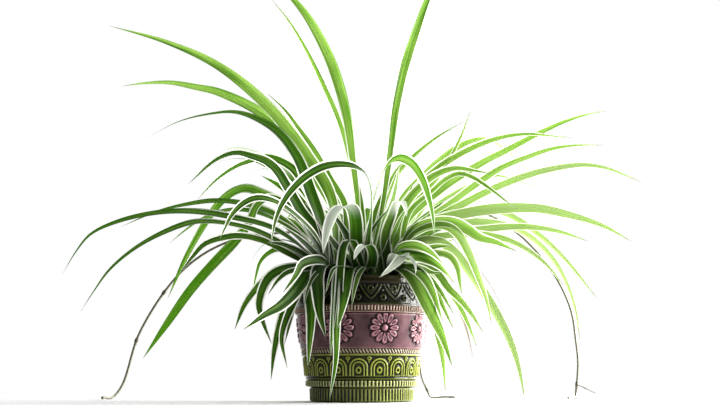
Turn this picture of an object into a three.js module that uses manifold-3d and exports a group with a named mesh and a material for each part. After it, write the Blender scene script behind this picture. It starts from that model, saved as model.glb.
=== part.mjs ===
// A spider plant in a glazed, moulded pot.
// Millimetres, +Z up. The origin is the middle of the pot's base, and the front faces -Y.
import * as THREE from "three";
import { mergeVertices } from "three/addons/utils/BufferGeometryUtils.js";
import Module from "manifold-3d";

const wasm = await Module();
wasm.setup();

// Driving sizes of the pot
const POT_HEIGHT = 120;
const SHOULDER_RADIUS = 67;
const RIM_RADIUS = 61;
const MOUTH_RADIUS = 56.5;
const FLOOR_THICKNESS = 6;
const POT_SIDES = 32;
const RING_SUNK = 2;

// Driving sizes of the soil and of what stands in it
const SOIL_TOP = 106;
const CLEARANCE = 0.3;
const SHORTEST_EDGE = 0.02;
const HOLE_DEPTH = 12;
const CROWN_RADIUS = 8.5;
const CROWN_TOP = 128;
const SHEATH_RADIUS = 13;
const CROWN_SIDES = 8;
const ROOT_HEIGHT = 107;
const RISE_HEIGHT = 120;
const ROOT_LEAN = 2;
const RISE_LEAN = 6;
const RUNNER_SIDES = 5;
const RUNNER_STEPS = 24;
const NODE_SHARE = 1.8;
const NODE_STRETCH = 1.5;
const END_STRETCH = 0.8;
const LYING_HEIGHT = 2.6;

// Driving sizes of a blade
const BLADE_THICKNESS = 1.25;
const BLADE_STEP = 48;
const BLADE_RINGS_LEAST = 4;
const BLADE_RINGS_MOST = 9;
const WIDEST_AT = 0.35;
const ROOT_WIDTH_SHARE = 0.48;

// The outline of each leaf was read by eye from the front, 1.02 m away, just above the base.
// A point (x, z) of it lies where the line of sight meets the upright plane through the pot's axis.
const EYE = new THREE.Vector3(-1.6, -1019, 24.7);
const READING_OFFSET = 1.3;

// Middle of each crown of leaves on the soil
const CROWNS = {
  left_front: [-27, -16],
  left_back: [-24, 18],
  centre: [0, -6],
  front: [4, -34],
  right_front: [30, -18],
  right_back: [27, 16],
  back: [2, 36],
};

const LEAF_GREEN = 0x4e7a32;
const PALE_GREEN = 0x86b04a;
const RUNNER_COLOUR = 0x6f6a3a;
const CROWN_COLOURS = {
  left_front: 0x3f6a2e,
  left_back: LEAF_GREEN,
  centre: 0x547f35,
  front: 0x47732f,
  right_front: 0x6a9a3c,
  right_back: PALE_GREEN,
  back: LEAF_GREEN,
};

// Each leaf: name, crown, greatest width, turn of its face to the front (degrees), further twist
// to the tip (degrees), depth Y half-way, depth Y at the tip, then x, z of its midline from the front
const LEAVES = [
  ["left_dark_arch", "left_front", 15, 70, -45, -5, 10,
    [-40, 178, -52, 212, -66, 248, -86, 275, -110, 290, -132, 296.5, -160, 294, -190, 286, -222, 269]],
  ["left_broad_dark", "left_front", 14.5, 65, -25, -20, -30,
    [-45, 170, -60, 190, -74, 214, -88, 236, -99, 245, -113, 250, -130, 253.5, -150, 246, -178, 220]],
  ["left_longest", "left_front", 12, 45, 20, -30, -60,
    [-55, 150, -90, 175, -130, 186, -170, 192, -210, 190.5, -250, 181, -276, 168, -290, 150,
     -302, 128]],
  ["left_long_low", "left_front", 12, 45, 20, -50, -100,
    [-55, 142, -85, 162, -115, 175, -150, 181.5, -172, 181, -200, 171, -230, 154, -255, 132,
     -270, 110, -282, 90]],
  ["left_bright_fall", "left_front", 14, 65, 20, 5, 60,
    [-50, 165, -68, 192, -84, 203, -97, 206, -108, 197, -115, 180, -128, 162, -150, 138, -172, 112,
     -195, 78, -218, 43]],
  ["left_low_arch", "left_front", 11, 50, 10, -40, -70,
    [-60, 141, -80, 152, -100, 162, -125, 167, -145, 164, -160, 158, -170, 147, -184, 128]],
  ["left_side_fall", "left_front", 10, 55, 10, -20, -45,
    [-60, 134, -80, 132, -95, 124, -107, 112, -118, 96, -127, 72]],
  ["left_dark_hook", "left_front", 11, 60, 10, -60, -75,
    [-45, 133, -65, 135, -82, 132, -93, 125, -100, 112, -103, 96, -99, 80, -90, 58]],
  ["left_inner_hook", "left_front", 7.5, 55, 10, -62, -72,
    [-50, 133.5, -66, 132, -76, 129, -85, 121, -94, 107]],
  ["left_front_broad", "left_front", 14.5, 75, 10, -75, -110,
    [-42, 139, -52, 130, -64, 114, -80, 97, -98, 86, -118, 72]],
  ["left_front_short", "left_front", 11, 65, 10, -70, -85,
    [-38, 141, -52, 141.5, -61, 137, -66, 127, -79, 109]],
  ["front_dark_fall", "left_front", 14.5, 0, 0, -72, -80,
    [-30, 137, -41, 137, -45, 126, -44, 108, -42, 88, -35.5, 63]],
  ["front_left_fall", "left_front", 13, 0, 0, -70, -72,
    [-42, 136, -51, 127, -52.5, 110, -51, 88, -52, 60, -53.5, 34]],
  ["left_near_arch", "left_front", 10, 60, 10, -80, -120,
    [-45, 165, -75, 195, -95, 205, -108, 206, -120, 201, -132, 189, -139, 175, -144, 163]],
  ["left_low_fall", "left_front", 10, 55, 10, -50, -55,
    [-48, 135.5, -62, 127, -73, 104, -81, 80, -87, 53, -90, 22]],
  ["left_low_curl", "left_front", 9, 55, 10, -60, -62,
    [-44, 134.5, -57, 124.5, -68, 100, -77, 78, -80, 62, -74, 34]],
  ["left_inner_first", "left_front", 13, 55, 10, -30, -40, [-40, 150, -50, 168, -62, 184, -74, 198]],
  ["left_inner_second", "left_front", 12, 55, 10, -40, -55, [-42, 142, -54, 156, -68, 168, -80, 176]],
  ["left_inner_fifth", "left_front", 11, 55, 10, -35, -50, [-46, 138, -62, 150, -80, 158, -96, 160]],
  ["far_left_top", "left_back", 14.5, 75, 10, 30, 70,
    [-30, 203, -55, 248, -97, 302, -150, 346, -205, 372, -266, 390]],
  ["far_left_second", "left_back", 12.5, 65, 20, 60, 110,
    [-22, 175, -48, 228, -72, 266, -105, 296, -150, 318, -172, 323, -200, 328, -230, 327, -250, 324]],
  ["left_hook_top", "left_back", 10, 40, 10, 70, 120,
    [-45, 190, -80, 235, -108, 253, -128, 258.5, -143, 256, -155, 246, -172, 230]],
  ["left_twin_arch", "left_back", 12, 55, 10, 35, 55,
    [-40, 185, -60, 222, -70, 236, -84, 245, -98, 249, -113, 245.5, -131, 238, -150, 224, -168, 204]],
  ["left_over_longest", "left_back", 12, 45, 10, 22, 20,
    [-60, 165, -90, 190, -120, 200, -150, 203, -180, 199, -208, 192, -245, 176]],
  ["left_thin_tail", "left_back", 9, 35, 10, 15, 20,
    [-60, 165, -95, 187, -120, 193.5, -145, 192, -165, 183, -180, 172, -195, 159]],
  ["left_steep_fall", "left_back", 12, 60, 25, 40, 70,
    [-60, 182, -90, 205, -105, 212, -118, 216, -130, 213, -143, 203, -153, 190, -165, 170,
     -180, 140, -195, 103]],
  ["left_pale_hook", "left_back", 10, 65, 10, 30, 60,
    [-60, 148, -82, 154, -95, 149, -103, 140, -107, 125, -110, 108]],
  ["left_pale_spike", "left_back", 9, 45, 10, 40, 60,
    [-16, 195, -33, 228, -50, 258, -65, 279, -80, 299, -98, 316]],
  ["left_blunt", "left_back", 12, 65, 10, 20, 60, [-45, 175, -68, 205, -85, 219, -103, 229]],
  ["left_low_pale", "left_front", 6.5, 55, 10, -40, -50, [-50, 138, -60, 126, -67, 100, -77, 57]],
  ["left_inner_third", "left_back", 12, 55, 10, 20, 30, [-36, 160, -48, 182, -58, 200, -68, 214]],
  ["left_inner_fourth", "left_back", 11, 55, 10, 30, 45, [-34, 150, -52, 168, -72, 182, -92, 190]],
  ["back_far_left", "left_back", 12, 45, 10, 90, 150, [-35, 165, -60, 185, -78, 182, -92, 170, -100, 158]],
  ["centre_long_arc", "centre", 11, 55, 10, -70, -120,
    [8, 165, 11, 195, 10.5, 216, 6, 230, -6, 239, -22, 241.5, -38, 239, -55, 230, -70, 216,
     -81, 200, -88, 182, -92, 157]],
  ["centre_broad_bow", "centre", 15, 0, 0, -60, -120,
    [-5, 160, -6, 182, -10, 196, -18, 199, -27, 193, -34, 177, -37, 163, -39, 148]],
  ["tall_left", "centre", 11, 75, 10, 10, 30,
    [-4, 200, -9, 245, -15, 290, -24, 327, -36, 360, -56, 398, -72, 419, -100, 449]],
  ["tall_right", "centre", 12, 75, 10, 20, 50,
    [20, 190, 27, 235, 31, 265, 36.5, 305, 46, 348, 61, 395, 71, 422, 92, 460]],
  ["right_near_arch", "centre", 11, 65, 10, -40, -130,
    [8, 185, 13, 210, 20, 229, 29, 244, 39, 248, 51, 242.5, 62, 226, 69, 205, 73, 184, 74, 165]],
  ["centre_dark_left", "centre", 13, 55, 10, -20, -20, [-12, 160, -20, 176, -30, 190, -36, 196]],
  ["centre_dark_low", "centre", 12, 55, 10, -25, -30, [-20, 148, -28, 160, -38, 172, -46, 180]],
  ["centre_spear_left", "centre", 9, 45, 10, 10, 20, [6, 165, 12, 185, 19, 205, 24, 217]],
  ["centre_spear_low", "centre", 7.5, 45, 10, -10, -10, [4, 160, 12, 175, 22, 188, 30, 196]],
  ["front_narrow", "front", 6.5, 0, 0, -76, -88, [-24, 136, -29, 132, -33, 121, -36.5, 107]],
  ["front_long_ribbon", "front", 10, 0, 0, -75, -100,
    [-8, 160, -13, 163, -18, 157, -21, 140, -23, 110, -25, 75, -26, 40, -32, 2]],
  ["front_bright", "front", 15, 0, 0, -76, -86,
    [-6, 136, -12, 134.5, -15.5, 124, -17, 110, -20, 92, -24.5, 72]],
  ["front_thin_fall", "front", 9, 0, 0, -74, -80,
    [-16, 136, -22, 134.5, -26, 122, -27.5, 100, -29.5, 75, -31, 45]],
  ["front_folded_strip", "front", 6.5, 0, 0, -72, -78, [10, 134, 3, 134.5, -3, 127, -7, 113, -10, 95]],
  ["front_small_bow", "front", 11, 0, 0, -65, -95,
    [11, 140, 11, 150, 7, 157.5, 1, 157, -4, 151, -8, 142]],
  ["front_upright_left", "front", 10, 0, 0, -50, -58, [-6, 138, -10, 150, -13, 158]],
  ["front_upright_right", "front", 10, 35, 10, -45, -50, [14, 140, 22, 152, 28, 166]],
  ["right_folded_tip", "right_front", 11, 0, 0, -40, -75,
    [24, 165, 31, 188, 37, 203, 42, 202, 45, 194, 46, 186]],
  ["right_broad", "right_front", 12, 60, 10, 0, -10,
    [40, 190, 65, 222, 82, 233, 98, 237, 113, 235, 133, 231]],
  ["right_dark_arch", "right_front", 9, 50, 10, -20, -30,
    [48, 190, 72, 213, 87, 226, 100, 231.5, 113, 228, 131, 216, 147, 203, 160, 193]],
  ["right_yellow_long", "right_front", 14, 60, 25, 5, 10,
    [60, 175, 90, 186, 120, 192.5, 150, 195.5, 180, 195, 205, 190, 230, 183, 250, 175, 274, 161]],
  ["right_mid_fall", "right_front", 10, 55, 10, -20, -30,
    [60, 160, 95, 168, 125, 168, 150, 162, 172, 150, 190, 134, 203, 116]],
  ["right_bent_broad", "right_front", 14.5, 60, 10, -50, -80,
    [50, 170, 75, 181, 95, 180, 108, 173, 120, 165, 137, 160, 157, 151]],
  ["right_bright_fall", "right_front", 10, 65, 20, -60, -90,
    [48, 164, 72, 177, 88, 176, 99, 167, 110, 146, 119, 122, 126, 100, 130, 79]],
  ["right_long_fall", "right_front", 12, 65, 20, -25, -20,
    [55, 160, 80, 160, 95, 149, 108, 132, 122, 111, 134, 91, 146, 67, 154, 44, 159, 20, 161, 4]],
  ["right_pale_hook", "right_front", 9, 65, 10, -35, -45,
    [58, 146, 78, 149, 90, 145.5, 97, 134, 99, 120, 101, 107]],
  ["right_front_long", "right_front", 13, 70, 10, -65, -95,
    [36, 152, 52, 156, 65, 151, 75, 142, 84, 131, 93, 119]],
  ["right_front_broad", "right_front", 13, 75, 10, -75, -100,
    [36, 145, 52, 146.5, 66, 143, 78, 136, 92, 121]],
  ["front_pale_fold", "right_front", 14.5, 0, 0, -70, -90, [36, 148, 42, 148, 38, 142, 30, 134, 18, 124]],
  ["front_pale_strip", "right_front", 6.5, 0, 0, -72, -78, [44, 147, 51, 143, 55, 134, 54, 126]],
  ["front_right_broad", "right_front", 14.5, 45, 10, -80, -98,
    [34, 136, 44, 133, 53, 123, 60, 110, 67, 95, 74, 80, 81, 64, 90, 36]],
  ["front_right_dark", "right_front", 11, 45, 10, -74, -82,
    [44, 136, 55, 132, 65, 122, 72, 108, 77, 93, 81, 80]],
  ["right_low_short", "right_front", 9, 45, 10, -60, -70, [50, 135, 62, 133, 72, 129, 84, 130]],
  ["right_low_narrow", "right_front", 6.5, 45, 10, -62, -70, [55, 134, 67, 126, 77, 114, 85, 101, 92, 88]],
  ["right_low_fall", "right_front", 10, 45, 10, -50, -60,
    [60, 137, 75, 130, 88, 113, 100, 101, 110, 88, 121, 70]],
  ["right_low_pale", "right_front", 7.5, 55, 10, -45, -45,
    [62, 134, 80, 122, 94, 103, 104, 84, 110, 69, 115, 55]],
  ["right_low_dark", "right_front", 7.5, 45, 10, -60, -64, [50, 133, 65, 124, 77, 106, 85, 88, 92, 73]],
  ["right_low_longest", "right_front", 9, 45, 10, -66, -72,
    [44, 134, 57, 124, 68, 98, 76, 69, 81, 42, 83, 12]],
  ["centre_spear_middle", "right_front", 10, 55, 10, -25, -30, [26, 150, 32, 168, 40, 186, 48, 198]],
  ["centre_spear_right", "right_front", 11, 55, 10, -30, -40, [34, 150, 46, 166, 58, 180, 70, 190]],
  ["right_inner_first", "right_front", 12, 55, 10, -15, -20, [40, 150, 56, 162, 74, 172, 92, 176]],
  ["right_inner_third", "right_front", 11, 55, 10, -30, -45, [42, 142, 58, 150, 76, 156, 92, 156]],
  ["right_upright_pale", "right_back", 9, 55, 10, 40, 60, [22, 175, 31, 200, 36, 222, 39, 244]],
  ["right_upright_thin", "right_back", 7.5, 45, 10, 30, 60, [16, 185, 25, 213, 35, 234, 46, 246]],
  ["right_highest", "right_back", 11, 55, 15, 70, 120,
    [45, 180, 78, 212, 105, 231, 128, 245, 150, 256, 180, 272, 210, 286, 235, 294, 256, 298]],
  ["right_high_arch", "right_back", 10, 55, 10, 60, 90,
    [45, 200, 75, 234, 100, 251, 130, 265, 152, 271, 175, 273, 195, 271, 218, 269]],
  ["right_high_hook", "right_back", 10, 50, 10, 90, 150,
    [40, 200, 65, 230, 85, 249, 103, 261, 118, 267, 133, 267, 147, 258, 160, 247, 175, 231, 189, 210]],
  ["right_upper_long", "right_back", 10, 55, 10, 40, 60,
    [50, 168, 92, 201, 120, 222, 147, 239, 172, 249, 197, 257.5, 222, 261, 250, 261]],
  ["right_longest", "right_back", 11, 55, 20, 30, 20,
    [65, 175, 110, 203, 145, 220, 175, 231, 205, 238, 230, 240.5, 252, 237, 270, 230, 287, 222]],
  ["right_short_tail", "right_back", 6.5, 45, 10, 70, 90,
    [70, 192, 115, 221, 138, 229, 160, 223.5, 179, 216]],
  ["right_broken_tip", "right_back", 10, 55, 10, 15, 25, [35, 185, 55, 214, 72, 229, 91, 243]],
  ["right_spike", "right_back", 6.5, 40, 10, 60, 80,
    [40, 185, 68, 215, 86, 238, 98, 260, 106, 278, 113, 298]],
  ["right_yellow_fall", "right_back", 10, 55, 30, 30, 40,
    [70, 180, 110, 192, 140, 192, 160, 183, 185, 164, 205, 144, 222, 123, 237, 103]],
  ["right_level", "right_back", 11, 55, 25, 20, 25,
    [60, 158, 95, 169, 125, 173.5, 152, 176, 180, 175, 205, 170, 230, 161]],
  ["right_outer_fall", "right_back", 10, 55, 30, 40, 50,
    [70, 172, 115, 181, 150, 177, 175, 163, 195, 141, 208, 115, 215, 90, 218, 62]],
  ["right_behind_short", "right_back", 10, 55, 10, 30, 60, [50, 149, 72, 156, 94, 163]],
  ["centre_spear_back", "right_back", 10, 55, 10, 30, 40, [30, 170, 40, 190, 48, 208, 53, 222]],
  ["right_inner_second", "right_back", 12, 55, 10, 30, 40, [40, 160, 56, 178, 72, 192, 86, 204]],
  ["right_inner_fourth", "right_back", 11, 55, 10, 20, 30, [44, 150, 62, 166, 82, 180, 104, 190]],
  ["back_low_right", "right_back", 11, 0, 0, 80, 120, [30, 150, 44, 162, 56, 160, 64, 135, 66, 85]],
  ["back_far_right", "right_back", 12, 45, 10, 90, 150, [50, 165, 75, 178, 98, 175, 112, 155, 118, 130]],
  ["tall_left_thin", "back", 9, 45, 10, 30, 50,
    [-6, 210, -14, 255, -25, 292, -38, 322, -56, 360, -75, 393, -95, 419]],
  ["centre_back_short", "back", 9, 0, 0, 30, 50, [1, 180, 0, 200, -2, 218]],
  ["right_back_spike", "back", 7.5, 35, 10, 90, 140, [20, 190, 35, 228, 54, 250, 80, 271, 106, 286]],
  ["back_fall_left", "back", 12, 0, 0, 100, 170, [-8, 165, -22, 188, -36, 192, -48, 165, -56, 110]],
  ["back_fall_right", "back", 12, 0, 0, 100, 170, [14, 165, 28, 190, 44, 196, 56, 170, 62, 115]],
  ["back_longest", "back", 13, 0, 0, 120, 215, [4, 170, 8, 192, 10, 196, 12, 160, 14, 90]],
  ["back_short", "back", 12, 0, 0, 90, 140, [0, 160, -8, 180, -14, 184, -18, 150, -22, 105]],
  ["back_low_left", "back", 11, 0, 0, 100, 145, [-14, 145, -30, 158, -44, 160, -56, 135, -62, 80]],
  ["back_high_left", "back", 12, 0, 0, 70, 150, [-6, 180, -20, 200, -40, 215, -62, 205, -80, 175]],
  ["back_high_right", "back", 12, 0, 0, 95, 190, [14, 180, 32, 200, 56, 208, 76, 196, 90, 165]],
];

// Each runner: name, place in the soil, radius, which of its points carry a node, then points
// x, z from the front with the depth Y, and last the points X, Y where it lies on the surface
const RUNNERS = [
  ["runner_left", [-14, 38], 1.3, [8, 10],
    [[-22, 150, 48], [-45, 166, 66], [-70, 170, 80], [-95, 168.5, 88], [-118, 166, 94], [-140, 158.5, 97],
     [-160, 148, 98], [-180, 132, 98], [-199, 109, 97], [-216, 81, 96], [-225, 61, 95], [-237, 18, 93]],
    [[-266, 84], [-272, 66], [-268, 46]]],
  ["runner_right", [24, 38], 1.1, [7, 12],
    [[34, 138, 66], [56, 156, 94], [82, 179, 108], [105, 195, 106], [132, 187, 98], [160, 168, 90],
     [176, 152, 86],
     [191, 132.7, 82], [203, 111, 81], [211, 88, 80], [214, 62, 80], [215.5, 40, 80], [213.5, 18, 80]],
    [[228, 78], [226, 64], [214, 50]]],
  ["runner_back", [20, 46], 1, [6],
    [[21, 128, 50], [24, 135, 62], [38, 128, 74], [50, 95, 80], [56, 55, 82], [60, 24, 80], [65, 12.5, 79]],
    [[74, 82], [88, 84], [100, 78]]],
];

function toSolid(geometry) {
  const bare = geometry.clone();
  bare.deleteAttribute("normal");
  bare.deleteAttribute("uv");
  const merged = mergeVertices(bare, 1e-4);
  return new wasm.Manifold(
    new wasm.Mesh({
      numProp: 3,
      vertProperties: new Float32Array(merged.attributes.position.array),
      triVerts: new Uint32Array(merged.index.array),
    }),
  );
}

function toGeometry(solid) {
  const mesh = solid.getMesh();
  const geometry = new THREE.BufferGeometry();
  geometry.setAttribute("position", new THREE.BufferAttribute(mesh.vertProperties, mesh.numProp));
  geometry.setIndex(new THREE.BufferAttribute(mesh.triVerts, 1));
  const flat = geometry.toNonIndexed();
  flat.computeVertexNormals();
  return flat;
}

// Joins solids in one body and fills the tiny voids that crossing blades close in
function fuse(solids) {
  const parts = wasm.Manifold.union(solids).decompose();
  return wasm.Manifold.union(parts.filter((part) => part.volume() > 0)).simplify(SHORTEST_EDGE);
}

function makePiece(name, solid, colour, roughness) {
  const material = new THREE.MeshStandardMaterial({ color: colour, roughness, metalness: 0 });
  const mesh = new THREE.Mesh(toGeometry(solid), material);
  mesh.name = name;
  return mesh;
}

// Pot

// A solid of revolution about Z from pairs of radius and height
function turned(profile, sides) {
  const points = profile.map(([radius, height]) => new THREE.Vector2(radius, height));
  const geometry = new THREE.LatheGeometry(points, sides);
  geometry.rotateX(Math.PI / 2);
  return toSolid(geometry);
}

// A ring of pointed ridges that run up and down the wall
function ridgedRing(count, outer, depth, low, high) {
  const shape = new THREE.Shape();
  for (let i = 0; i < 2 * count; i += 1) {
    const angle = (Math.PI * i) / count;
    const radius = i % 2 === 0 ? outer : outer - depth;
    const point = [radius * Math.cos(angle), radius * Math.sin(angle)];
    if (i === 0) {
      shape.moveTo(...point);
    } else {
      shape.lineTo(...point);
    }
  }
  shape.closePath();
  const middle = new THREE.Path();
  middle.absarc(0, 0, outer - depth - RING_SUNK, 0, 2 * Math.PI, true);
  shape.holes.push(middle);
  const options = { depth: high - low, bevelEnabled: false, curveSegments: POT_SIDES };
  const geometry = new THREE.ExtrudeGeometry(shape, options);
  geometry.translate(0, 0, low);
  return toSolid(geometry);
}

// Outer wall, from the foot to the rim, as pairs of radius and height
const WALL = [
  [49.8, 0],
  [51.1, 1.2],
  [51.1, 13],
  [50.2, 13.6],
  [53.6, 14.4],
  [55.4, 16.2],
  [55.4, 19.2],
  [54, 20.8],
  [55.6, 21.6],
  [55.6, 23.6],
  [57.2, 33],
  [58.4, 43.6],
  [60, 44.2],
  [60, 45.6],
  [59.2, 46.4],
  [60.4, 50.5],
  [64.8, 83.2],
  [63.8, 83.8],
  [66.4, 84.6],
  [65.4, 86],
  [65.4, 90.5],
  [66, 91.8],
  [65.6, 93.5],
  [62.2, 111.6],
  [63, 112.8],
  [62.6, 117],
  [RIM_RADIUS, POT_HEIGHT - 0.6],
  [RIM_RADIUS - 1.3, POT_HEIGHT],
];

// Inner wall, from the rim to the floor
const HOLLOW = [
  [MOUTH_RADIUS + 1, POT_HEIGHT],
  [MOUTH_RADIUS, POT_HEIGHT - 1],
  [57, 88],
  [44, FLOOR_THICKNESS],
];

function wallRadius(height) {
  for (let i = 1; i < WALL.length; i += 1) {
    const [lowRadius, low] = WALL[i - 1];
    const [highRadius, high] = WALL[i];
    if (height <= high) {
      return lowRadius + ((highRadius - lowRadius) * (height - low)) / (high - low);
    }
  }
  return RIM_RADIUS;
}

// Lays a relief, drawn upright with its front toward +Z, on the wall; azimuth 0 is the front
function onWall(geometry, azimuth, height, lean = 0) {
  const laid = geometry.clone();
  laid.rotateX(Math.PI / 2 - lean);
  laid.translate(0, -wallRadius(height), 0);
  laid.rotateZ(THREE.MathUtils.degToRad(azimuth));
  laid.translate(0, 0, height);
  return toSolid(laid);
}

const RELIEF_SUNK = 1.2;

// A raised plate from an outline
function plateGeometry(outline, proud) {
  const shape = new THREE.Shape(outline.map(([x, y]) => new THREE.Vector2(x, y)));
  const geometry = new THREE.ExtrudeGeometry(shape, { depth: RELIEF_SUNK + proud, bevelEnabled: false });
  geometry.translate(0, 0, -RELIEF_SUNK);
  return geometry;
}

// A pointed boss: its foot is an oval of the given half width and half height
function bossGeometry(halfWidth, halfHeight, proud, sides) {
  const geometry = new THREE.ConeGeometry(1, RELIEF_SUNK + proud, sides);
  geometry.rotateX(Math.PI / 2);
  geometry.translate(0, 0, (proud - RELIEF_SUNK) / 2);
  geometry.scale(halfWidth, halfHeight, 1);
  return geometry;
}

const ARCH_COUNT = 18;
const ARCH_TURN = -3;
const ARCH_FOOT = 24.5;
const ARCH_WIDTH = 16.2;
const ARCH_LEG = 7;

function archOutline() {
  const outline = [[ARCH_WIDTH / 2, -ARCH_LEG]];
  for (let i = 0; i <= 4; i += 1) {
    const angle = (Math.PI * i) / 4;
    outline.push([(ARCH_WIDTH / 2) * Math.cos(angle), (ARCH_WIDTH / 2) * Math.sin(angle)]);
  }
  outline.push([-ARCH_WIDTH / 2, -ARCH_LEG]);
  return outline;
}

function archBand() {
  const arch = plateGeometry(archOutline(), 0.9);
  const eye = bossGeometry(3, 3, 2.4, 6);
  const pitch = 360 / ARCH_COUNT;
  const solids = [];
  for (let i = 0; i < ARCH_COUNT; i += 1) {
    const azimuth = ARCH_TURN + pitch * i;
    solids.push(onWall(arch, azimuth, ARCH_FOOT + ARCH_LEG));
    solids.push(onWall(eye, azimuth, ARCH_FOOT + ARCH_LEG - 1.5));
  }
  return solids;
}

const ROSETTE_COUNT = 9;
const ROSETTE_TURN = 20;
const ROSETTE_HEIGHT = 69.6;
const ROSETTE_RADIUS = 14.6;
const PETAL_COUNT = 12;
const PETAL_LENGTH = 10;
const BAND_LEAN = Math.atan2(4.4, 32.7);

function rosetteBand() {
  const solids = [];
  const middle = ROSETTE_RADIUS - PETAL_LENGTH / 2;
  for (let i = 0; i < ROSETTE_COUNT; i += 1) {
    const azimuth = ROSETTE_TURN + (360 / ROSETTE_COUNT) * i;
    for (let j = 0; j < PETAL_COUNT; j += 1) {
      const turn = (2 * Math.PI * j) / PETAL_COUNT;
      const petal = bossGeometry(PETAL_LENGTH / 2, 2.2, 1.4, 4);
      petal.rotateZ(turn);
      const height = ROSETTE_HEIGHT + middle * Math.sin(turn);
      const across = THREE.MathUtils.radToDeg((middle * Math.cos(turn)) / wallRadius(height));
      solids.push(onWall(petal, azimuth + across, height, BAND_LEAN));
    }
    solids.push(onWall(bossGeometry(3.4, 3.4, 2.2, 6), azimuth, ROSETTE_HEIGHT, BAND_LEAN));
  }
  return solids;
}

const SHIELD_COUNT = 17;
const SHIELD_TURN = 7.6;
const SHIELD_HEIGHT = 102.5;
const SHIELD_LEAN = -0.18;

const SHIELD_OUTLINE = [
  [0, -8],
  [5.4, -2],
  [9, 7.6],
  [-9, 7.6],
  [-5.4, -2],
];

function shieldBand() {
  const shield = plateGeometry(SHIELD_OUTLINE, 0.7);
  const solids = [];
  for (let i = 0; i < SHIELD_COUNT; i += 1) {
    solids.push(onWall(shield, SHIELD_TURN + (360 / SHIELD_COUNT) * i, SHIELD_HEIGHT, SHIELD_LEAN));
  }
  return solids;
}

function makePot() {
  const body = turned([[0, 0], ...WALL, ...HOLLOW, [0, FLOOR_THICKNESS]], POT_SIDES);
  const teeth = ridgedRing(132, SHOULDER_RADIUS, 1.2, 86, 90.5);
  return fuse([body, teeth, ...archBand(), ...rosetteBand(), ...shieldBand()]);
}

// Soil

function holeSolid([x, y], radius, sides) {
  const low = SOIL_TOP - HOLE_DEPTH;
  const high = SOIL_TOP + 1;
  return turned([[0, low], [radius, low], [radius, high], [0, high]], sides).translate([x, y, 0]);
}

function makeSoil() {
  const wallInside = (height) => {
    const [highRadius, high] = HOLLOW[2];
    const [lowRadius, low] = HOLLOW[3];
    return lowRadius + ((highRadius - lowRadius) * (height - low)) / (high - low) - 2 * CLEARANCE;
  };
  const low = FLOOR_THICKNESS + CLEARANCE;
  const neck = MOUTH_RADIUS - 2 * CLEARANCE;
  const profile = [
    [0, low],
    [wallInside(low), low],
    [wallInside(HOLLOW[2][1] - 4), HOLLOW[2][1] - 4],
    [neck, SOIL_TOP - 1.5],
    [neck - 3, SOIL_TOP],
    [0, SOIL_TOP],
  ];
  let soil = turned(profile, POT_SIDES);
  for (const place of Object.values(CROWNS)) {
    soil = soil.subtract(holeSolid(place, CROWN_RADIUS + 1.1 * CLEARANCE, CROWN_SIDES));
  }
  for (const [, place, radius] of RUNNERS) {
    soil = soil.subtract(holeSolid(place, 1.2 * radius + 2 * CLEARANCE, RUNNER_SIDES));
  }
  return soil;
}

// Leaves

function fromFrontView(x, z, y) {
  const scale = (y - EYE.y) / -EYE.y;
  return new THREE.Vector3(EYE.x + (x - EYE.x) * scale, y, EYE.z + (z - READING_OFFSET - EYE.z) * scale);
}

function toFrontView(point) {
  const scale = -EYE.y / (point.y - EYE.y);
  const x = EYE.x + (point.x - EYE.x) * scale;
  const z = EYE.z + (point.z - EYE.z) * scale + READING_OFFSET;
  return new THREE.Vector2(x, z);
}

// The midline of a leaf in space: it rises from its crown, then follows the points read from the front
function leafLine([, crown, , , , middleDepth, tipDepth, flat]) {
  const [crownX, crownY] = CROWNS[crown];
  const seen = [];
  for (let i = 0; i < flat.length; i += 2) {
    seen.push(new THREE.Vector2(flat[i], flat[i + 1]));
  }
  const first = fromFrontView(seen[0].x, seen[0].y, crownY);
  const lean = new THREE.Vector2(first.x - crownX, middleDepth - crownY).normalize();
  const root = new THREE.Vector3(crownX + ROOT_LEAN * lean.x, crownY + ROOT_LEAN * lean.y, ROOT_HEIGHT);
  const rise = new THREE.Vector3(crownX + RISE_LEAN * lean.x, crownY + RISE_LEAN * lean.y, RISE_HEIGHT);
  const shown = [toFrontView(rise), ...seen];
  const travelled = [0];
  for (let i = 1; i < shown.length; i += 1) {
    travelled.push(travelled[i - 1] + shown[i].distanceTo(shown[i - 1]));
  }
  const whole = travelled[travelled.length - 1];
  const points = [root, rise];
  for (let i = 1; i < shown.length; i += 1) {
    const s = travelled[i] / whole;
    const near = rise.y * (1 - s) * (1 - 2 * s);
    const depth = near + middleDepth * 4 * s * (1 - s) + tipDepth * s * (2 * s - 1);
    points.push(fromFrontView(shown[i].x, shown[i].y, depth));
  }
  return new THREE.CatmullRomCurve3(points, false, "centripetal");
}

// Share of the greatest width at s, from 0 at the root to 1 at the tip
function widthShare(s) {
  const grow = Math.sin((Math.min(s / WIDEST_AT, 1) * Math.PI) / 2);
  const rise = ROOT_WIDTH_SHARE + (1 - ROOT_WIDTH_SHARE) * grow;
  const taper = 1 - Math.max(0, (s - WIDEST_AT) / (1 - WIDEST_AT)) ** 2.8;
  return rise * taper;
}

// Two triangles over a four-cornered side, split so that their fold stands outward
function outwardPair(corners, near, next) {
  const [a, b, c, d] = [near, next, near + 3, next + 3].map((place) => corners[place]);
  const normal = b.clone().sub(a).cross(c.clone().sub(a));
  if (d.clone().sub(a).dot(normal) <= 0) {
    return [near, next, near + 3, next, next + 3, near + 3];
  }
  return [near, next, next + 3, near, next + 3, near + 3];
}

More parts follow.
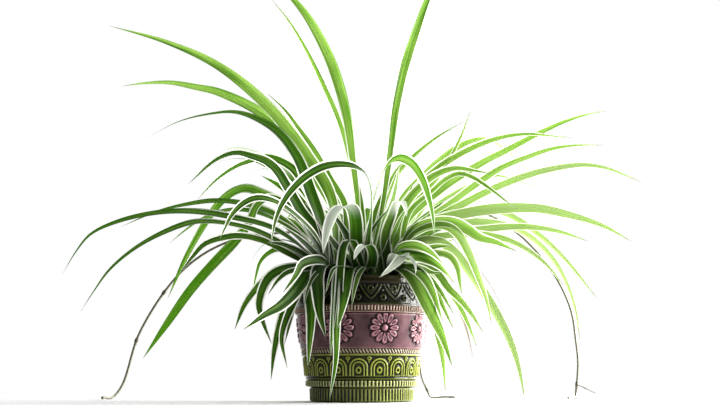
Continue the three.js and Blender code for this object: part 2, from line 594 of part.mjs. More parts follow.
// A leaf is a blade with a keel below: each of its rings has two edges and the keel
function leafSolid(leaf) {
  const [, , width, facing, twist] = leaf;
  const curve = leafLine(leaf);
  const wanted = Math.round(curve.getLength() / BLADE_STEP) + 2;
  const rings = Math.min(Math.max(wanted, BLADE_RINGS_LEAST), BLADE_RINGS_MOST);
  const points = curve.getSpacedPoints(rings);
  const chord = points[rings].clone().sub(points[0]).setZ(0).normalize();
  const level = new THREE.Vector3(-chord.y, chord.x, 0);
  const sense = chord.x >= 0 ? 1 : -1;
  const corners = [];
  for (let i = 0; i < rings; i += 1) {
    const s = i / rings;
    const along = points[i + 1].clone().sub(points[Math.max(i - 1, 0)]).normalize();
    const side = level.clone().addScaledVector(along, -level.dot(along)).normalize();
    const up = along.clone().cross(side);
    const ease = THREE.MathUtils.smoothstep(s, 0, WIDEST_AT);
    const roll = THREE.MathUtils.degToRad(sense * (facing * ease + twist * s * s));
    const across = side.clone().multiplyScalar(Math.cos(roll)).addScaledVector(up, Math.sin(roll));
    const top = up.clone().multiplyScalar(Math.cos(roll)).addScaledVector(side, -Math.sin(roll));
    const half = (width * widthShare(s)) / 2;
    corners.push(points[i].clone().addScaledVector(across, -half));
    corners.push(points[i].clone().addScaledVector(top, -BLADE_THICKNESS));
    corners.push(points[i].clone().addScaledVector(across, half));
  }
  corners.push(points[rings]);
  const faces = [0, 2, 1];
  for (let i = 0; i < rings - 1; i += 1) {
    for (let j = 0; j < 3; j += 1) {
      faces.push(...outwardPair(corners, 3 * i + j, 3 * i + ((j + 1) % 3)));
    }
  }
  for (let j = 0; j < 3; j += 1) {
    faces.push(3 * (rings - 1) + j, 3 * (rings - 1) + ((j + 1) % 3), 3 * rings);
  }
  return new wasm.Manifold(
    new wasm.Mesh({
      numProp: 3,
      vertProperties: new Float32Array(corners.flatMap((corner) => corner.toArray())),
      triVerts: new Uint32Array(faces),
    }),
  );
}

// The short, thick stem that a tuft of leaves grows from
function crownSolid([x, y]) {
  const low = SOIL_TOP - HOLE_DEPTH + CLEARANCE;
  const profile = [
    [0, low],
    [CROWN_RADIUS - 3, low],
    [CROWN_RADIUS, low + 4],
    [CROWN_RADIUS, SOIL_TOP + 0.5],
    [SHEATH_RADIUS, SOIL_TOP + 6],
    [SHEATH_RADIUS, SOIL_TOP + 13],
    [SHEATH_RADIUS - 5, CROWN_TOP],
    [0, CROWN_TOP + 2],
  ];
  return turned(profile, CROWN_SIDES).translate([x, y, 0]);
}

function makeTuft(crown) {
  const leaves = LEAVES.filter((leaf) => leaf[1] === crown);
  const solid = fuse([crownSolid(CROWNS[crown]), ...leaves.map(leafSolid)]);
  return makePiece(`tuft_${crown}`, solid, CROWN_COLOURS[crown], 0.5);
}

// Runners

function tubeSolid(points, radius, steps) {
  const shape = new THREE.Shape();
  for (let i = 0; i < RUNNER_SIDES; i += 1) {
    const angle = (2 * Math.PI * i) / RUNNER_SIDES;
    const point = [radius * Math.cos(angle), radius * Math.sin(angle)];
    if (i === 0) {
      shape.moveTo(...point);
    } else {
      shape.lineTo(...point);
    }
  }
  shape.closePath();
  const path = new THREE.CatmullRomCurve3(points, false, "centripetal");
  return toSolid(new THREE.ExtrudeGeometry(shape, { steps, extrudePath: path, bevelEnabled: false }));
}

function nodeSolid(place, radius, stretch) {
  const swelling = new THREE.SphereGeometry(radius * NODE_SHARE, 4, 2);
  swelling.scale(1, 1, stretch);
  swelling.translate(place.x, place.y, place.z);
  return toSolid(swelling);
}

// A runner rises from the soil, arches over the rim, hangs down and lies along the surface
function makeRunner([name, [x, y], radius, nodes, seen, lying]) {
  const low = SOIL_TOP - HOLE_DEPTH + CLEARANCE;
  const hanging = seen.map(([viewX, viewZ, depth]) => fromFrontView(viewX, viewZ, depth));
  const resting = lying.map(([lyingX, lyingY]) => new THREE.Vector3(lyingX, lyingY, LYING_HEIGHT));
  const rising = [low, SOIL_TOP + 2, RISE_HEIGHT].map((z) => new THREE.Vector3(x, y, z));
  const points = [...rising, ...hanging, ...resting];
  const swellings = nodes.map((place) => nodeSolid(hanging[place], radius, NODE_STRETCH));
  const end = nodeSolid(points[points.length - 1], radius, END_STRETCH);
  const solid = fuse([tubeSolid(points, radius, RUNNER_STEPS), ...swellings, end]);
  return makePiece(name, solid, RUNNER_COLOUR, 0.6);
}

const group = new THREE.Group();
group.add(makePiece("pot", makePot(), 0x8a7448, 0.25));
group.add(makePiece("soil", makeSoil(), 0x3a2c22, 0.95));
for (const crown of Object.keys(CROWNS)) {
  group.add(makeTuft(crown));
}
for (const runner of RUNNERS) {
  group.add(makeRunner(runner));
}

export default group;
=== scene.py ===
import math

import bpy
import numpy as np
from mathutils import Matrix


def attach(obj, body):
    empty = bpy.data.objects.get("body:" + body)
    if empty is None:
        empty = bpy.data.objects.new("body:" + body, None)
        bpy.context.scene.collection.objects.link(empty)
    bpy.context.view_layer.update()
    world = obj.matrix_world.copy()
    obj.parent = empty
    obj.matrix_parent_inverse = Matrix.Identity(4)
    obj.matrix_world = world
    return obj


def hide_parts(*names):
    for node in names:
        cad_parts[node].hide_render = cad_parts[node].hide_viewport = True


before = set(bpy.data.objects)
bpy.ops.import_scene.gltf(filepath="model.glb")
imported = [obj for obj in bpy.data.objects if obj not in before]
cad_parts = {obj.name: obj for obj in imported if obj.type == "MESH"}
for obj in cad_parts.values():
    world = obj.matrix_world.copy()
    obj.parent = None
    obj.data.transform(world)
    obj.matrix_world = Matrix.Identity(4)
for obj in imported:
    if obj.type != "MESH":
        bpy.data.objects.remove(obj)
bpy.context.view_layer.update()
scene = bpy.context.scene

# A spider plant in a glazed, moulded pot. Sizes are in millimetres until a mesh is made.
MM = 0.001
rng = np.random.default_rng(7)

# Driving sizes, the same as in the part's source
POT_HEIGHT = 120
MOUTH_RADIUS = 56.5
FLOOR_THICKNESS = 6
SOIL_TOP = 106
HOLE_DEPTH = 12
CLEARANCE = 0.3
CROWN_RADIUS = 8.5
CROWN_TOP = 128
SHEATH_RADIUS = 13
ROOT_HEIGHT = 107
RISE_HEIGHT = 120
ROOT_LEAN = 2
RISE_LEAN = 6
WIDEST_AT = 0.35
ROOT_WIDTH_SHARE = 0.48
LYING_HEIGHT = 2.6
CROWN_FOOT = SOIL_TOP - HOLE_DEPTH + CLEARANCE

# The camera stands where the photo was taken and looks a little up
EYE = np.array([-1.6, -1019, 24.7])
EYE_PITCH = 9.74
LENS = 50.55
READING_OFFSET = 1.3
SPAN_STEPS = 24

# Each tuft: where its crown stands, how much lighter its green is, and its leaves. Each leaf: name,
# greatest width, degrees that its face turns to the front, twist to the tip, depth half-way, depth
# at the tip, and its line as x,z pairs seen from the front. Those after a blank line are thin, dry,
# edge-on or innermost ones that the part's source leaves out.
TUFTS = {}
TUFTS["left_front"] = ((-27, -16), -0.06, [
    ["left_dark_arch", 15, 70, -45, -5, 10, -40,178, -52,212, -66,248, -86,275, -110,290, -132,296.5,
     -160,294, -190,286, -222,269],
    ["left_broad_dark", 14.5, 65, -25, -20, -30, -45,170, -60,190, -74,214, -88,236, -99,245, -113,250,
     -130,253.5, -150,246, -178,220],
    ["left_longest", 12, 45, 20, -30, -60, -55,150, -90,175, -130,186, -170,192, -210,190.5, -250,181,
     -276,168, -290,150, -302,128],
    ["left_long_low", 12, 45, 20, -50, -100, -55,142, -85,162, -115,175, -150,181.5, -172,181, -200,171,
     -230,154, -255,132, -270,110, -282,90],
    ["left_bright_fall", 14, 65, 20, 5, 60, -50,165, -68,192, -84,203, -97,206, -108,197, -115,180, -128,162,
     -150,138, -172,112, -195,78, -218,43],
    ["left_low_arch", 11, 50, 10, -40, -70, -60,141, -80,152, -100,162, -125,167, -145,164, -160,158,
     -170,147, -184,128],
    ["left_side_fall", 10, 55, 10, -20, -45, -60,134, -80,132, -95,124, -107,112, -118,96, -127,72],
    ["left_dark_hook", 11, 60, 10, -60, -75, -45,133, -65,135, -82,132, -93,125, -100,112, -103,96, -99,80,
     -90,58],
    ["left_inner_hook", 7.5, 55, 10, -62, -72, -50,133.5, -66,132, -76,129, -85,121, -94,107],
    ["left_front_broad", 14.5, 75, 10, -75, -110, -42,139, -52,130, -64,114, -80,97, -98,86, -118,72],
    ["left_front_short", 11, 65, 10, -70, -85, -38,141, -52,141.5, -61,137, -66,127, -79,109],
    ["front_dark_fall", 14.5, 0, 0, -72, -80, -30,137, -41,137, -45,126, -44,108, -42,88, -35.5,63],
    ["front_left_fall", 13, 0, 0, -70, -72, -42,136, -51,127, -52.5,110, -51,88, -52,60, -53.5,34],
    ["left_near_arch", 10, 60, 10, -80, -120, -45,165, -75,195, -95,205, -108,206, -120,201, -132,189,
     -139,175, -144,163],
    ["left_low_fall", 10, 55, 10, -50, -55, -48,135.5, -62,127, -73,104, -81,80, -87,53, -90,22],
    ["left_low_curl", 9, 55, 10, -60, -62, -44,134.5, -57,124.5, -68,100, -77,78, -80,62, -74,34],
    ["left_inner_first", 13, 55, 10, -30, -40, -40,150, -50,168, -62,184, -74,198],
    ["left_inner_second", 12, 55, 10, -40, -55, -42,142, -54,156, -68,168, -80,176],
    ["left_inner_fifth", 11, 55, 10, -35, -50, -46,138, -62,150, -80,158, -96,160],
    ["left_low_pale", 6.5, 55, 10, -40, -50, -50,138, -60,126, -67,100, -77,57],

    ["left_rim_thin", 5, 30, 0, -66, -70, -38,133, -48,126, -55,110, -58,94],
])
TUFTS["left_back"] = ((-24, 18), 0.08, [
    ["far_left_top", 14.5, 75, 10, 30, 70, -30,203, -55,248, -97,302, -150,346, -205,372, -266,390],
    ["far_left_second", 12.5, 65, 20, 60, 110, -22,175, -48,228, -72,266, -105,296, -150,318, -172,323,
     -200,328, -230,327, -250,324],
    ["left_hook_top", 10, 40, 10, 70, 120, -45,190, -80,235, -108,253, -128,258.5, -143,256, -155,246,
     -172,230],
    ["left_twin_arch", 12, 55, 10, 35, 55, -40,185, -60,222, -70,236, -84,245, -98,249, -113,245.5, -131,238,
     -150,224, -168,204],
    ["left_over_longest", 12, 45, 10, 22, 20, -60,165, -90,190, -120,200, -150,203, -180,199, -208,192,
     -245,176],
    ["left_thin_tail", 9, 35, 10, 15, 20, -60,165, -95,187, -120,193.5, -145,192, -165,183, -180,172,
     -195,159],
    ["left_steep_fall", 12, 60, 25, 40, 70, -60,182, -90,205, -105,212, -118,216, -130,213, -143,203,
     -153,190, -165,170, -180,140, -195,103],
    ["left_pale_hook", 10, 65, 10, 30, 60, -60,148, -82,154, -95,149, -103,140, -107,125, -110,108],
    ["left_pale_spike", 9, 45, 10, 40, 60, -16,195, -33,228, -50,258, -65,279, -80,299, -98,316],
    ["left_blunt", 12, 65, 10, 20, 60, -45,175, -68,205, -85,219, -103,229],
    ["left_inner_third", 12, 55, 10, 20, 30, -36,160, -48,182, -58,200, -68,214],
    ["left_inner_fourth", 11, 55, 10, 30, 45, -34,150, -52,168, -72,182, -92,190],
    ["back_far_left", 12, 45, 10, 90, 150, -35,165, -60,185, -78,182, -92,170, -100,158],

    ["left_low_thin", 4, 30, 0, 20, 20, -60,155, -85,163, -100,157, -111,143],
    ["left_small_hook", 5, 30, 0, 60, 90, -45,190, -75,225, -92,235, -104,236, -117,226],
    ["left_bright_scrap", 7, 30, 0, 60, 80, -45,180, -80,225, -110,244, -130,247, -150,243],
])
TUFTS["centre"] = ((0, -6), 0.02, [
    ["centre_long_arc", 11, 55, 10, -70, -120, 8,165, 11,195, 10.5,216, 6,230, -6,239, -22,241.5, -38,239,
     -55,230, -70,216, -81,200, -88,182, -92,157],
    ["centre_broad_bow", 15, 0, 0, -60, -120, -5,160, -6,182, -10,196, -18,199, -27,193, -34,177, -37,163,
     -39,148],
    ["tall_left", 11, 75, 10, 10, 30, -4,200, -9,245, -15,290, -24,327, -36,360, -56,398, -72,419, -100,449],
    ["tall_right", 12, 75, 10, 20, 50, 20,190, 27,235, 31,265, 36.5,305, 46,348, 61,395, 71,422, 92,460],
    ["right_near_arch", 11, 65, 10, -40, -130, 8,185, 13,210, 20,229, 29,244, 39,248, 51,242.5, 62,226,
     69,205, 73,184, 74,165],
    ["centre_dark_left", 13, 55, 10, -20, -20, -12,160, -20,176, -30,190, -36,196],
    ["centre_dark_low", 12, 55, 10, -25, -30, -20,148, -28,160, -38,172, -46,180],
    ["centre_spear_left", 9, 45, 10, 10, 20, 6,165, 12,185, 19,205, 24,217],
    ["centre_spear_low", 7.5, 45, 10, -10, -10, 4,160, 12,175, 22,188, 30,196],

    ["inner_centre", 11, 30, 15, -8, -12, 7,134, 14,150, 19,170, 22,186],
])
TUFTS["front"] = ((4, -34), 0.02, [
    ["front_narrow", 6.5, 0, 0, -76, -88, -24,136, -29,132, -33,121, -36.5,107],
    ["front_long_ribbon", 10, 0, 0, -75, -100, -8,160, -13,163, -18,157, -21,140, -23,110, -25,75, -26,40,
     -32,2],
    ["front_bright", 15, 0, 0, -76, -86, -6,136, -12,134.5, -15.5,124, -17,110, -20,92, -24.5,72],
    ["front_thin_fall", 9, 0, 0, -74, -80, -16,136, -22,134.5, -26,122, -27.5,100, -29.5,75, -31,45],
    ["front_folded_strip", 6.5, 0, 0, -72, -78, 10,134, 3,134.5, -3,127, -7,113, -10,95],
    ["front_small_bow", 11, 0, 0, -65, -95, 11,140, 11,150, 7,157.5, 1,157, -4,151, -8,142],
    ["front_upright_left", 10, 0, 0, -50, -58, -6,138, -10,150, -13,158],
    ["front_upright_right", 10, 35, 10, -45, -50, 14,140, 22,152, 28,166],
])
TUFTS["right_front"] = ((30, -18), 0.08, [
    ["right_folded_tip", 11, 0, 0, -40, -75, 24,165, 31,188, 37,203, 42,202, 45,194, 46,186],
    ["right_broad", 12, 60, 10, 0, -10, 40,190, 65,222, 82,233, 98,237, 113,235, 133,231],
    ["right_dark_arch", 9, 50, 10, -20, -30, 48,190, 72,213, 87,226, 100,231.5, 113,228, 131,216, 147,203,
     160,193],
    ["right_yellow_long", 14, 60, 25, 5, 10, 60,175, 90,186, 120,192.5, 150,195.5, 180,195, 205,190, 230,183,
     250,175, 274,161],
    ["right_mid_fall", 10, 55, 10, -20, -30, 60,160, 95,168, 125,168, 150,162, 172,150, 190,134, 203,116],
    ["right_bent_broad", 14.5, 60, 10, -50, -80, 50,170, 75,181, 95,180, 108,173, 120,165, 137,160, 157,151],
    ["right_bright_fall", 10, 65, 20, -60, -90, 48,164, 72,177, 88,176, 99,167, 110,146, 119,122, 126,100,
     130,79],
    ["right_long_fall", 12, 65, 20, -25, -20, 55,160, 80,160, 95,149, 108,132, 122,111, 134,91, 146,67,
     154,44, 159,20, 161,4],
    ["right_pale_hook", 9, 65, 10, -35, -45, 58,146, 78,149, 90,145.5, 97,134, 99,120, 101,107],
    ["right_front_long", 13, 70, 10, -65, -95, 36,152, 52,156, 65,151, 75,142, 84,131, 93,119],
    ["right_front_broad", 13, 75, 10, -75, -100, 36,145, 52,146.5, 66,143, 78,136, 92,121],
    ["front_pale_fold", 14.5, 0, 0, -70, -90, 36,148, 42,148, 38,142, 30,134, 18,124],
    ["front_pale_strip", 6.5, 0, 0, -72, -78, 44,147, 51,143, 55,134, 54,126],
    ["front_right_broad", 14.5, 45, 10, -80, -98, 34,136, 44,133, 53,123, 60,110, 67,95, 74,80, 81,64,
     90,36],
    ["front_right_dark", 11, 45, 10, -74, -82, 44,136, 55,132, 65,122, 72,108, 77,93, 81,80],
    ["right_low_short", 9, 45, 10, -60, -70, 50,135, 62,133, 72,129, 84,130],
    ["right_low_narrow", 6.5, 45, 10, -62, -70, 55,134, 67,126, 77,114, 85,101, 92,88],
    ["right_low_fall", 10, 45, 10, -50, -60, 60,137, 75,130, 88,113, 100,101, 110,88, 121,70],
    ["right_low_pale", 7.5, 55, 10, -45, -45, 62,134, 80,122, 94,103, 104,84, 110,69, 115,55],
    ["right_low_dark", 7.5, 45, 10, -60, -64, 50,133, 65,124, 77,106, 85,88, 92,73],
    ["right_low_longest", 9, 45, 10, -66, -72, 44,134, 57,124, 68,98, 76,69, 81,42, 83,12],
    ["centre_spear_middle", 10, 55, 10, -25, -30, 26,150, 32,168, 40,186, 48,198],
    ["centre_spear_right", 11, 55, 10, -30, -40, 34,150, 46,166, 58,180, 70,190],
    ["right_inner_first", 12, 55, 10, -15, -20, 40,150, 56,162, 74,172, 92,176],
    ["right_inner_third", 11, 55, 10, -30, -45, 42,142, 58,150, 76,156, 92,156],

    ["right_low_dry", 5, 20, 0, -40, -45, 62,137, 80,126, 95,99, 105,72, 111,44],
])
TUFTS["right_back"] = ((27, 16), 0.16, [
    ["right_upright_pale", 9, 55, 10, 40, 60, 22,175, 31,200, 36,222, 39,244],
    ["right_upright_thin", 7.5, 45, 10, 30, 60, 16,185, 25,213, 35,234, 46,246],
    ["right_highest", 11, 55, 15, 70, 120, 45,180, 78,212, 105,231, 128,245, 150,256, 180,272, 210,286,
     235,294, 256,298],
    ["right_high_arch", 10, 55, 10, 60, 90, 45,200, 75,234, 100,251, 130,265, 152,271, 175,273, 195,271,
     218,269],
    ["right_high_hook", 10, 50, 10, 90, 150, 40,200, 65,230, 85,249, 103,261, 118,267, 133,267, 147,258,
     160,247, 175,231, 189,210],
    ["right_upper_long", 10, 55, 10, 40, 60, 50,168, 92,201, 120,222, 147,239, 172,249, 197,257.5, 222,261,
     250,261],
    ["right_longest", 11, 55, 20, 30, 20, 65,175, 110,203, 145,220, 175,231, 205,238, 230,240.5, 252,237,
     270,230, 287,222],
    ["right_short_tail", 6.5, 45, 10, 70, 90, 70,192, 115,221, 138,229, 160,223.5, 179,216],
    ["right_broken_tip", 10, 55, 10, 15, 25, 35,185, 55,214, 72,229, 91,243],
    ["right_spike", 6.5, 40, 10, 60, 80, 40,185, 68,215, 86,238, 98,260, 106,278, 113,298],
    ["right_yellow_fall", 10, 55, 30, 30, 40, 70,180, 110,192, 140,192, 160,183, 185,164, 205,144, 222,123,
     237,103],
    ["right_level", 11, 55, 25, 20, 25, 60,158, 95,169, 125,173.5, 152,176, 180,175, 205,170, 230,161],
    ["right_outer_fall", 10, 55, 30, 40, 50, 70,172, 115,181, 150,177, 175,163, 195,141, 208,115, 215,90,
     218,62],
    ["right_behind_short", 10, 55, 10, 30, 60, 50,149, 72,156, 94,163],
    ["centre_spear_back", 10, 55, 10, 30, 40, 30,170, 40,190, 48,208, 53,222],
    ["right_inner_second", 12, 55, 10, 30, 40, 40,160, 56,178, 72,192, 86,204],
    ["right_inner_fourth", 11, 55, 10, 20, 30, 44,150, 62,166, 82,180, 104,190],
    ["back_low_right", 11, 0, 0, 80, 120, 30,150, 44,162, 56,160, 64,135, 66,85],
    ["back_far_right", 12, 45, 10, 90, 150, 50,165, 75,178, 98,175, 112,155, 118,130],

    ["right_dry_thin", 4, 20, 0, 20, 30, 65,160, 100,150, 123,127, 137,103, 144.5,80],
    ["right_dry_hook", 3, 10, 0, 10, 10, 60,158, 85,165, 96,161, 100,146, 102,119],
    ["right_edge_pale", 5, 20, 0, 10, 20, 70,170, 100,181, 128,186, 151,184],
    ["right_edge_thin", 6, 20, 0, 40, 60, 60,178, 90,198, 115,202, 138,199],
    ["right_back_thin", 5, 20, 0, 100, 130, 60,190, 80,214, 98,221.5, 112,219, 130,212],
    ["inner_right", 11, 40, 10, 20, 24, 18,132, 16.5,148, 13,172, 9,190],
])
TUFTS["back"] = ((2, 36), 0.06, [
    ["tall_left_thin", 9, 45, 10, 30, 50, -6,210, -14,255, -25,292, -38,322, -56,360, -75,393, -95,419],
    ["centre_back_short", 9, 0, 0, 30, 50, 1,180, 0,200, -2,218],
    ["right_back_spike", 7.5, 35, 10, 90, 140, 20,190, 35,228, 54,250, 80,271, 106,286],
    ["back_fall_left", 12, 0, 0, 100, 170, -8,165, -22,188, -36,192, -48,165, -56,110],
    ["back_fall_right", 12, 0, 0, 100, 170, 14,165, 28,190, 44,196, 56,170, 62,115],
    ["back_longest", 13, 0, 0, 120, 215, 4,170, 8,192, 10,196, 12,160, 14,90],
    ["back_short", 12, 0, 0, 90, 140, 0,160, -8,180, -14,184, -18,150, -22,105],
    ["back_low_left", 11, 0, 0, 100, 145, -14,145, -30,158, -44,160, -56,135, -62,80],
    ["back_high_left", 12, 0, 0, 70, 150, -6,180, -20,200, -40,215, -62,205, -80,175],
    ["back_high_right", 12, 0, 0, 95, 190, 14,180, 32,200, 56,208, 76,196, 90,165],

    ["inner_back", 12, 30, 10, 34, 30, 9,132, 17,148, 23,168, 27,186],
])

# Each runner: name, place, radius, which points carry a node, its line as x, z and depth, and
# where it lies on the surface
RUNNERS = [
    ["runner_left", [-14, 38], 1.3, [8, 10],
     [[-22,150,48], [-45,166,66], [-70,170,80], [-95,168.5,88], [-118,166,94], [-140,158.5,97],
      [-160,148,98], [-180,132,98], [-199,109,97], [-216,81,96], [-225,61,95], [-237,18,93]],
     [[-266,84], [-272,66], [-268,46]]],
    ["runner_right", [24, 38], 1.1, [7, 12],
     [[34,138,66], [56,156,94], [82,179,108], [105,195,106], [132,187,98], [160,168,90], [176,152,86],
      [191,132.7,82], [203,111,81], [211,88,80], [214,62,80], [215.5,40,80], [213.5,18,80]],
     [[228,78], [226,64], [214,50]]],
    ["runner_back", [20, 46], 1, [6],
     [[21,128,50], [24,135,62], [38,128,74], [50,95,80], [56,55,82], [60,24,80], [65,12.5,79]],
     [[74,82], [88,84], [100,78]]],
]

# Leaves whose pale underside shows, and from which share of their length
PALE = {
    "centre_broad_bow": 0.45, "front_pale_fold": 0.3, "front_pale_strip": 0.2,
    "right_folded_tip": 0.6, "front_small_bow": 0.6, "left_hook_top": 0.5,
}
PALE_FADE = 0.15
PAST_TIP = 2
# Leaves whose width runs in its own way: where along the leaf it is greatest, how late it falls
# off, and for some its share at the root and how late it grows
SHAPES = {
    "left_longest": (0.3, 1.3), "left_long_low": (0.25, 1), "left_over_longest": (0.3, 1.5),
    "left_dark_arch": (0.3, 1.2), "far_left_top": (0.35, 1.5), "far_left_second": (0.45, 1.8, 0.4),
    "left_bright_fall": (0.6, 2.2, 0.35, 2), "tall_left": (0.6, 2.2, 0.3, 2),
    "tall_right": (0.7, 2.2, 0.25, 2),
}
# Leaves whose cream margins fade out half-way, between these shares of their length
PLAIN = {*SHAPES, "left_steep_fall", "left_thin_tail"} - {"tall_right"}
PLAIN_FADE = (0.3, 0.6)
DRY = ("right_dry_thin", "right_dry_hook", "right_low_dry")


def smoothstep(low, high, value):
    share = np.clip((value - low) / (high - low), 0, 1)
    return share * share * (3 - 2 * share)


def from_front_view(x, z, y):
    """The point at depth y on the sight line that meets the pot's middle plane at x and z."""
    read = np.array([x, 0, z - READING_OFFSET])
    return EYE + (read - EYE) * (1 - y / EYE[1])


def to_front_view(point):
    """The x and z of a point's sight line, as from_front_view takes them."""
    read = EYE + (point - EYE) / (1 - point[1] / EYE[1])
    return np.array([read[0], read[2] + READING_OFFSET])


def smooth_line(points):
    """A centripetal Catmull-Rom line through the points."""
    points = np.asarray(points, float)
    held = np.vstack([2 * points[0] - points[1], points, 2 * points[-1] - points[-2]])
    t = (np.arange(SPAN_STEPS) / SPAN_STEPS)[:, None]
    line = []
    for i in range(1, len(held) - 2):
        p0, p1, p2, p3 = held[i - 1 : i + 3]
        d0, d1, d2 = (math.sqrt(np.linalg.norm(b - a)) for a, b in ((p0, p1), (p1, p2), (p2, p3)))
        start = ((p1 - p0) / d0 - (p2 - p0) / (d0 + d1) + (p2 - p1) / d1) * d1
        end = ((p2 - p1) / d1 - (p3 - p1) / (d1 + d2) + (p3 - p2) / d2) * d1
        square, cube = 3 * (p2 - p1) - 2 * start - end, 2 * (p1 - p2) + start + end
        line.extend(p1 + start * t + square * t**2 + cube * t**3)
    return np.array([*line, points[-1]])


def evenly(line, step, fewest=1, most=math.inf):
    """The line again, as points the same distance apart, about a step; and its length."""
    travelled = np.concatenate([[0], np.cumsum(np.linalg.norm(np.diff(line, axis=0), axis=1))])
    length = travelled[-1]
    spans = int(np.clip(length / step, fewest, most))
    wanted = np.linspace(0, length, spans + 1)
    return np.stack([np.interp(wanted, travelled, line[:, i]) for i in range(3)], axis=1), length


def unit(vectors):
    return vectors / np.linalg.norm(vectors, axis=-1, keepdims=True)


# Meshes


def placed(name, data):
    """A new object in the scene."""
    thing = bpy.data.objects.new(name, data)
    scene.collection.objects.link(thing)
    return thing


class Builder:
    """Gathers corners, faces and named values of one piece."""

    def __init__(self, names):
        self.corners = []
        self.faces = []
        self.values = {name: [] for name in names}

    def add(self, corners, faces, **values):
        first = sum(map(len, self.corners))
        self.corners.append(np.asarray(corners, float))
        self.faces.extend([tuple(first + k for k in face) for face in faces])
        for name, parts in self.values.items():
            parts.append(np.broadcast_to(values.get(name, 0), (len(corners),)))

    def piece(self, name, material, node, slot):
        mesh = bpy.data.meshes.new(name)
        corners = np.concatenate(self.corners) * MM
        mesh.from_pydata(corners.tolist(), [], self.faces)
        for value_name, parts in self.values.items():
            attribute = mesh.attributes.new(value_name, "FLOAT", "POINT")
            attribute.data.foreach_set("value", np.concatenate(parts).astype("f"))
        mesh.shade_smooth()
        mesh.materials.append(material)
        mesh.validate()
        piece = placed(name, mesh)
        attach(piece, "root")
        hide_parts(node)


def grid_faces(rows, columns, wrap=True):
    """Faces between rows of corners; each row closes on itself where wrap is set."""
    sides = [(j, (j + 1) % columns) for j in range(columns if wrap else columns - 1)]
    starts = range(0, (rows - 1) * columns, columns)
    return [(i + j, i + k, i + columns + k, i + columns + j) for i in starts for j, k in sides]


def end_caps(rows, columns):
    """The two faces that close a tube of rows, each a ring of columns."""
    last = (rows - 1) * columns
    return [tuple(reversed(range(columns))), tuple(range(last, last + columns))]


def turned(profile, sides):
    """Corners and faces of a closed solid of revolution from radius and height, low end first."""
    angles = np.linspace(0, 2 * math.pi, sides, endpoint=False)
    rows = [
        np.stack([radius * np.cos(angles), radius * np.sin(angles), np.full(sides, height)], axis=1)
        for radius, height in profile
    ]
    return np.concatenate(rows), grid_faces(len(rows), sides) + end_caps(len(rows), sides)


# Leaves

LEAF_VALUES = ("across", "edge", "along", "share", "tone", "pale", "rim", "dry", "seed")
BLADE_STEP = 5
BLADE_SPANS = (14, 84)
BLADE_ACROSS = np.array([-1, -0.78, -0.45, -0.12, 0.12, 0.45, 0.78, 1])
FOLD_SHARE = 0.26
FOLD_MOST = 1.9
FOLD_BEND = 1.25
WAVE_SHARE = 0.06
WAVE_LENGTH = 16
WAVE_SPREAD = 5
WAVE_LAG = 1.6
TIP_HALF_WIDTH = 0.12

# A leaf's tone, painted light from 0 for green in painted shade past 1 for painted sunlit green,
# by where its middle and tip are: lighter to the right, to the back and low on the right, where the
# window light falls; tall tips are drawn towards one tone
MIDDLE_TONE = 0.12
TONE_RIGHTWARD = 0.0058
TONE_BACKWARD = 0.002
TONE_LOW_RIGHT = 0.00006
LOW_RIGHT_CORNER = (50, 200)
MOST_TONE = 1.3
TALL_TONE = 0.4
TALL_TIPS = (270, 390)

CROWN_SIDES = 32
CROWN_RIBS = 7
CROWN_RIB_DEPTH = 0.05
CROWN_RIB_SLANT = 6
CROWN_VALUES = {"edge": 6, "tone": 0.1, "rim": 1}


def leaf_line(place, row):
    """The leaf's middle line, from inside its crown through the points seen in the photo."""
    middle_depth, tip_depth, *flat = row[4:]
    seen = [np.array(pair, float) for pair in zip(flat[::2], flat[1::2])]
    first = from_front_view(*seen[0], place[1])
    lean = unit(np.array([first[0] - place[0], middle_depth - place[1]]))
    root = np.array([*(place + ROOT_LEAN * lean), ROOT_HEIGHT])
    rise = np.array([*(place + RISE_LEAN * lean), RISE_HEIGHT])
    shown = [to_front_view(rise), *seen]
    steps = [np.linalg.norm(b - a) for a, b in zip(shown, shown[1:])]
    s = np.cumsum(steps) / sum(steps)
    # the depth runs by a parabola through the crown's, the one half-way and the tip's
    depths = rise[1] * (1 - s) * (1 - 2 * s) + middle_depth * 4 * s * (1 - s) + tip_depth * s * (2 * s - 1)
    points = [from_front_view(x, z, depth) for (x, z), depth in zip(seen, depths)]
    return smooth_line([root, rise, *points])


def width_share(s, widest=WIDEST_AT, lateness=2.8, root=ROOT_WIDTH_SHARE, slowness=1):
    """The width at a share of the length, as a share of the greatest width."""
    grow = np.sin(np.minimum(s / widest, 1) * math.pi / 2) ** slowness
    rise = root + (1 - root) * grow
    return rise * (1 - np.maximum(0, (s - widest) / (1 - widest)) ** lateness)


# painted light: a leaf's green is set lighter or darker by where it stands towards the windows
def painted_light_tone(middle, tip_height):
    low_right = max(middle[0] - LOW_RIGHT_CORNER[0], 0) * (LOW_RIGHT_CORNER[1] - tip_height)
    tone = MIDDLE_TONE + TONE_RIGHTWARD * middle[0] + TONE_BACKWARD * middle[1]
    tone = np.clip(tone + TONE_LOW_RIGHT * low_right, 0, MOST_TONE)
    return tone + (TALL_TONE - tone) * smoothstep(*TALL_TIPS, tip_height)


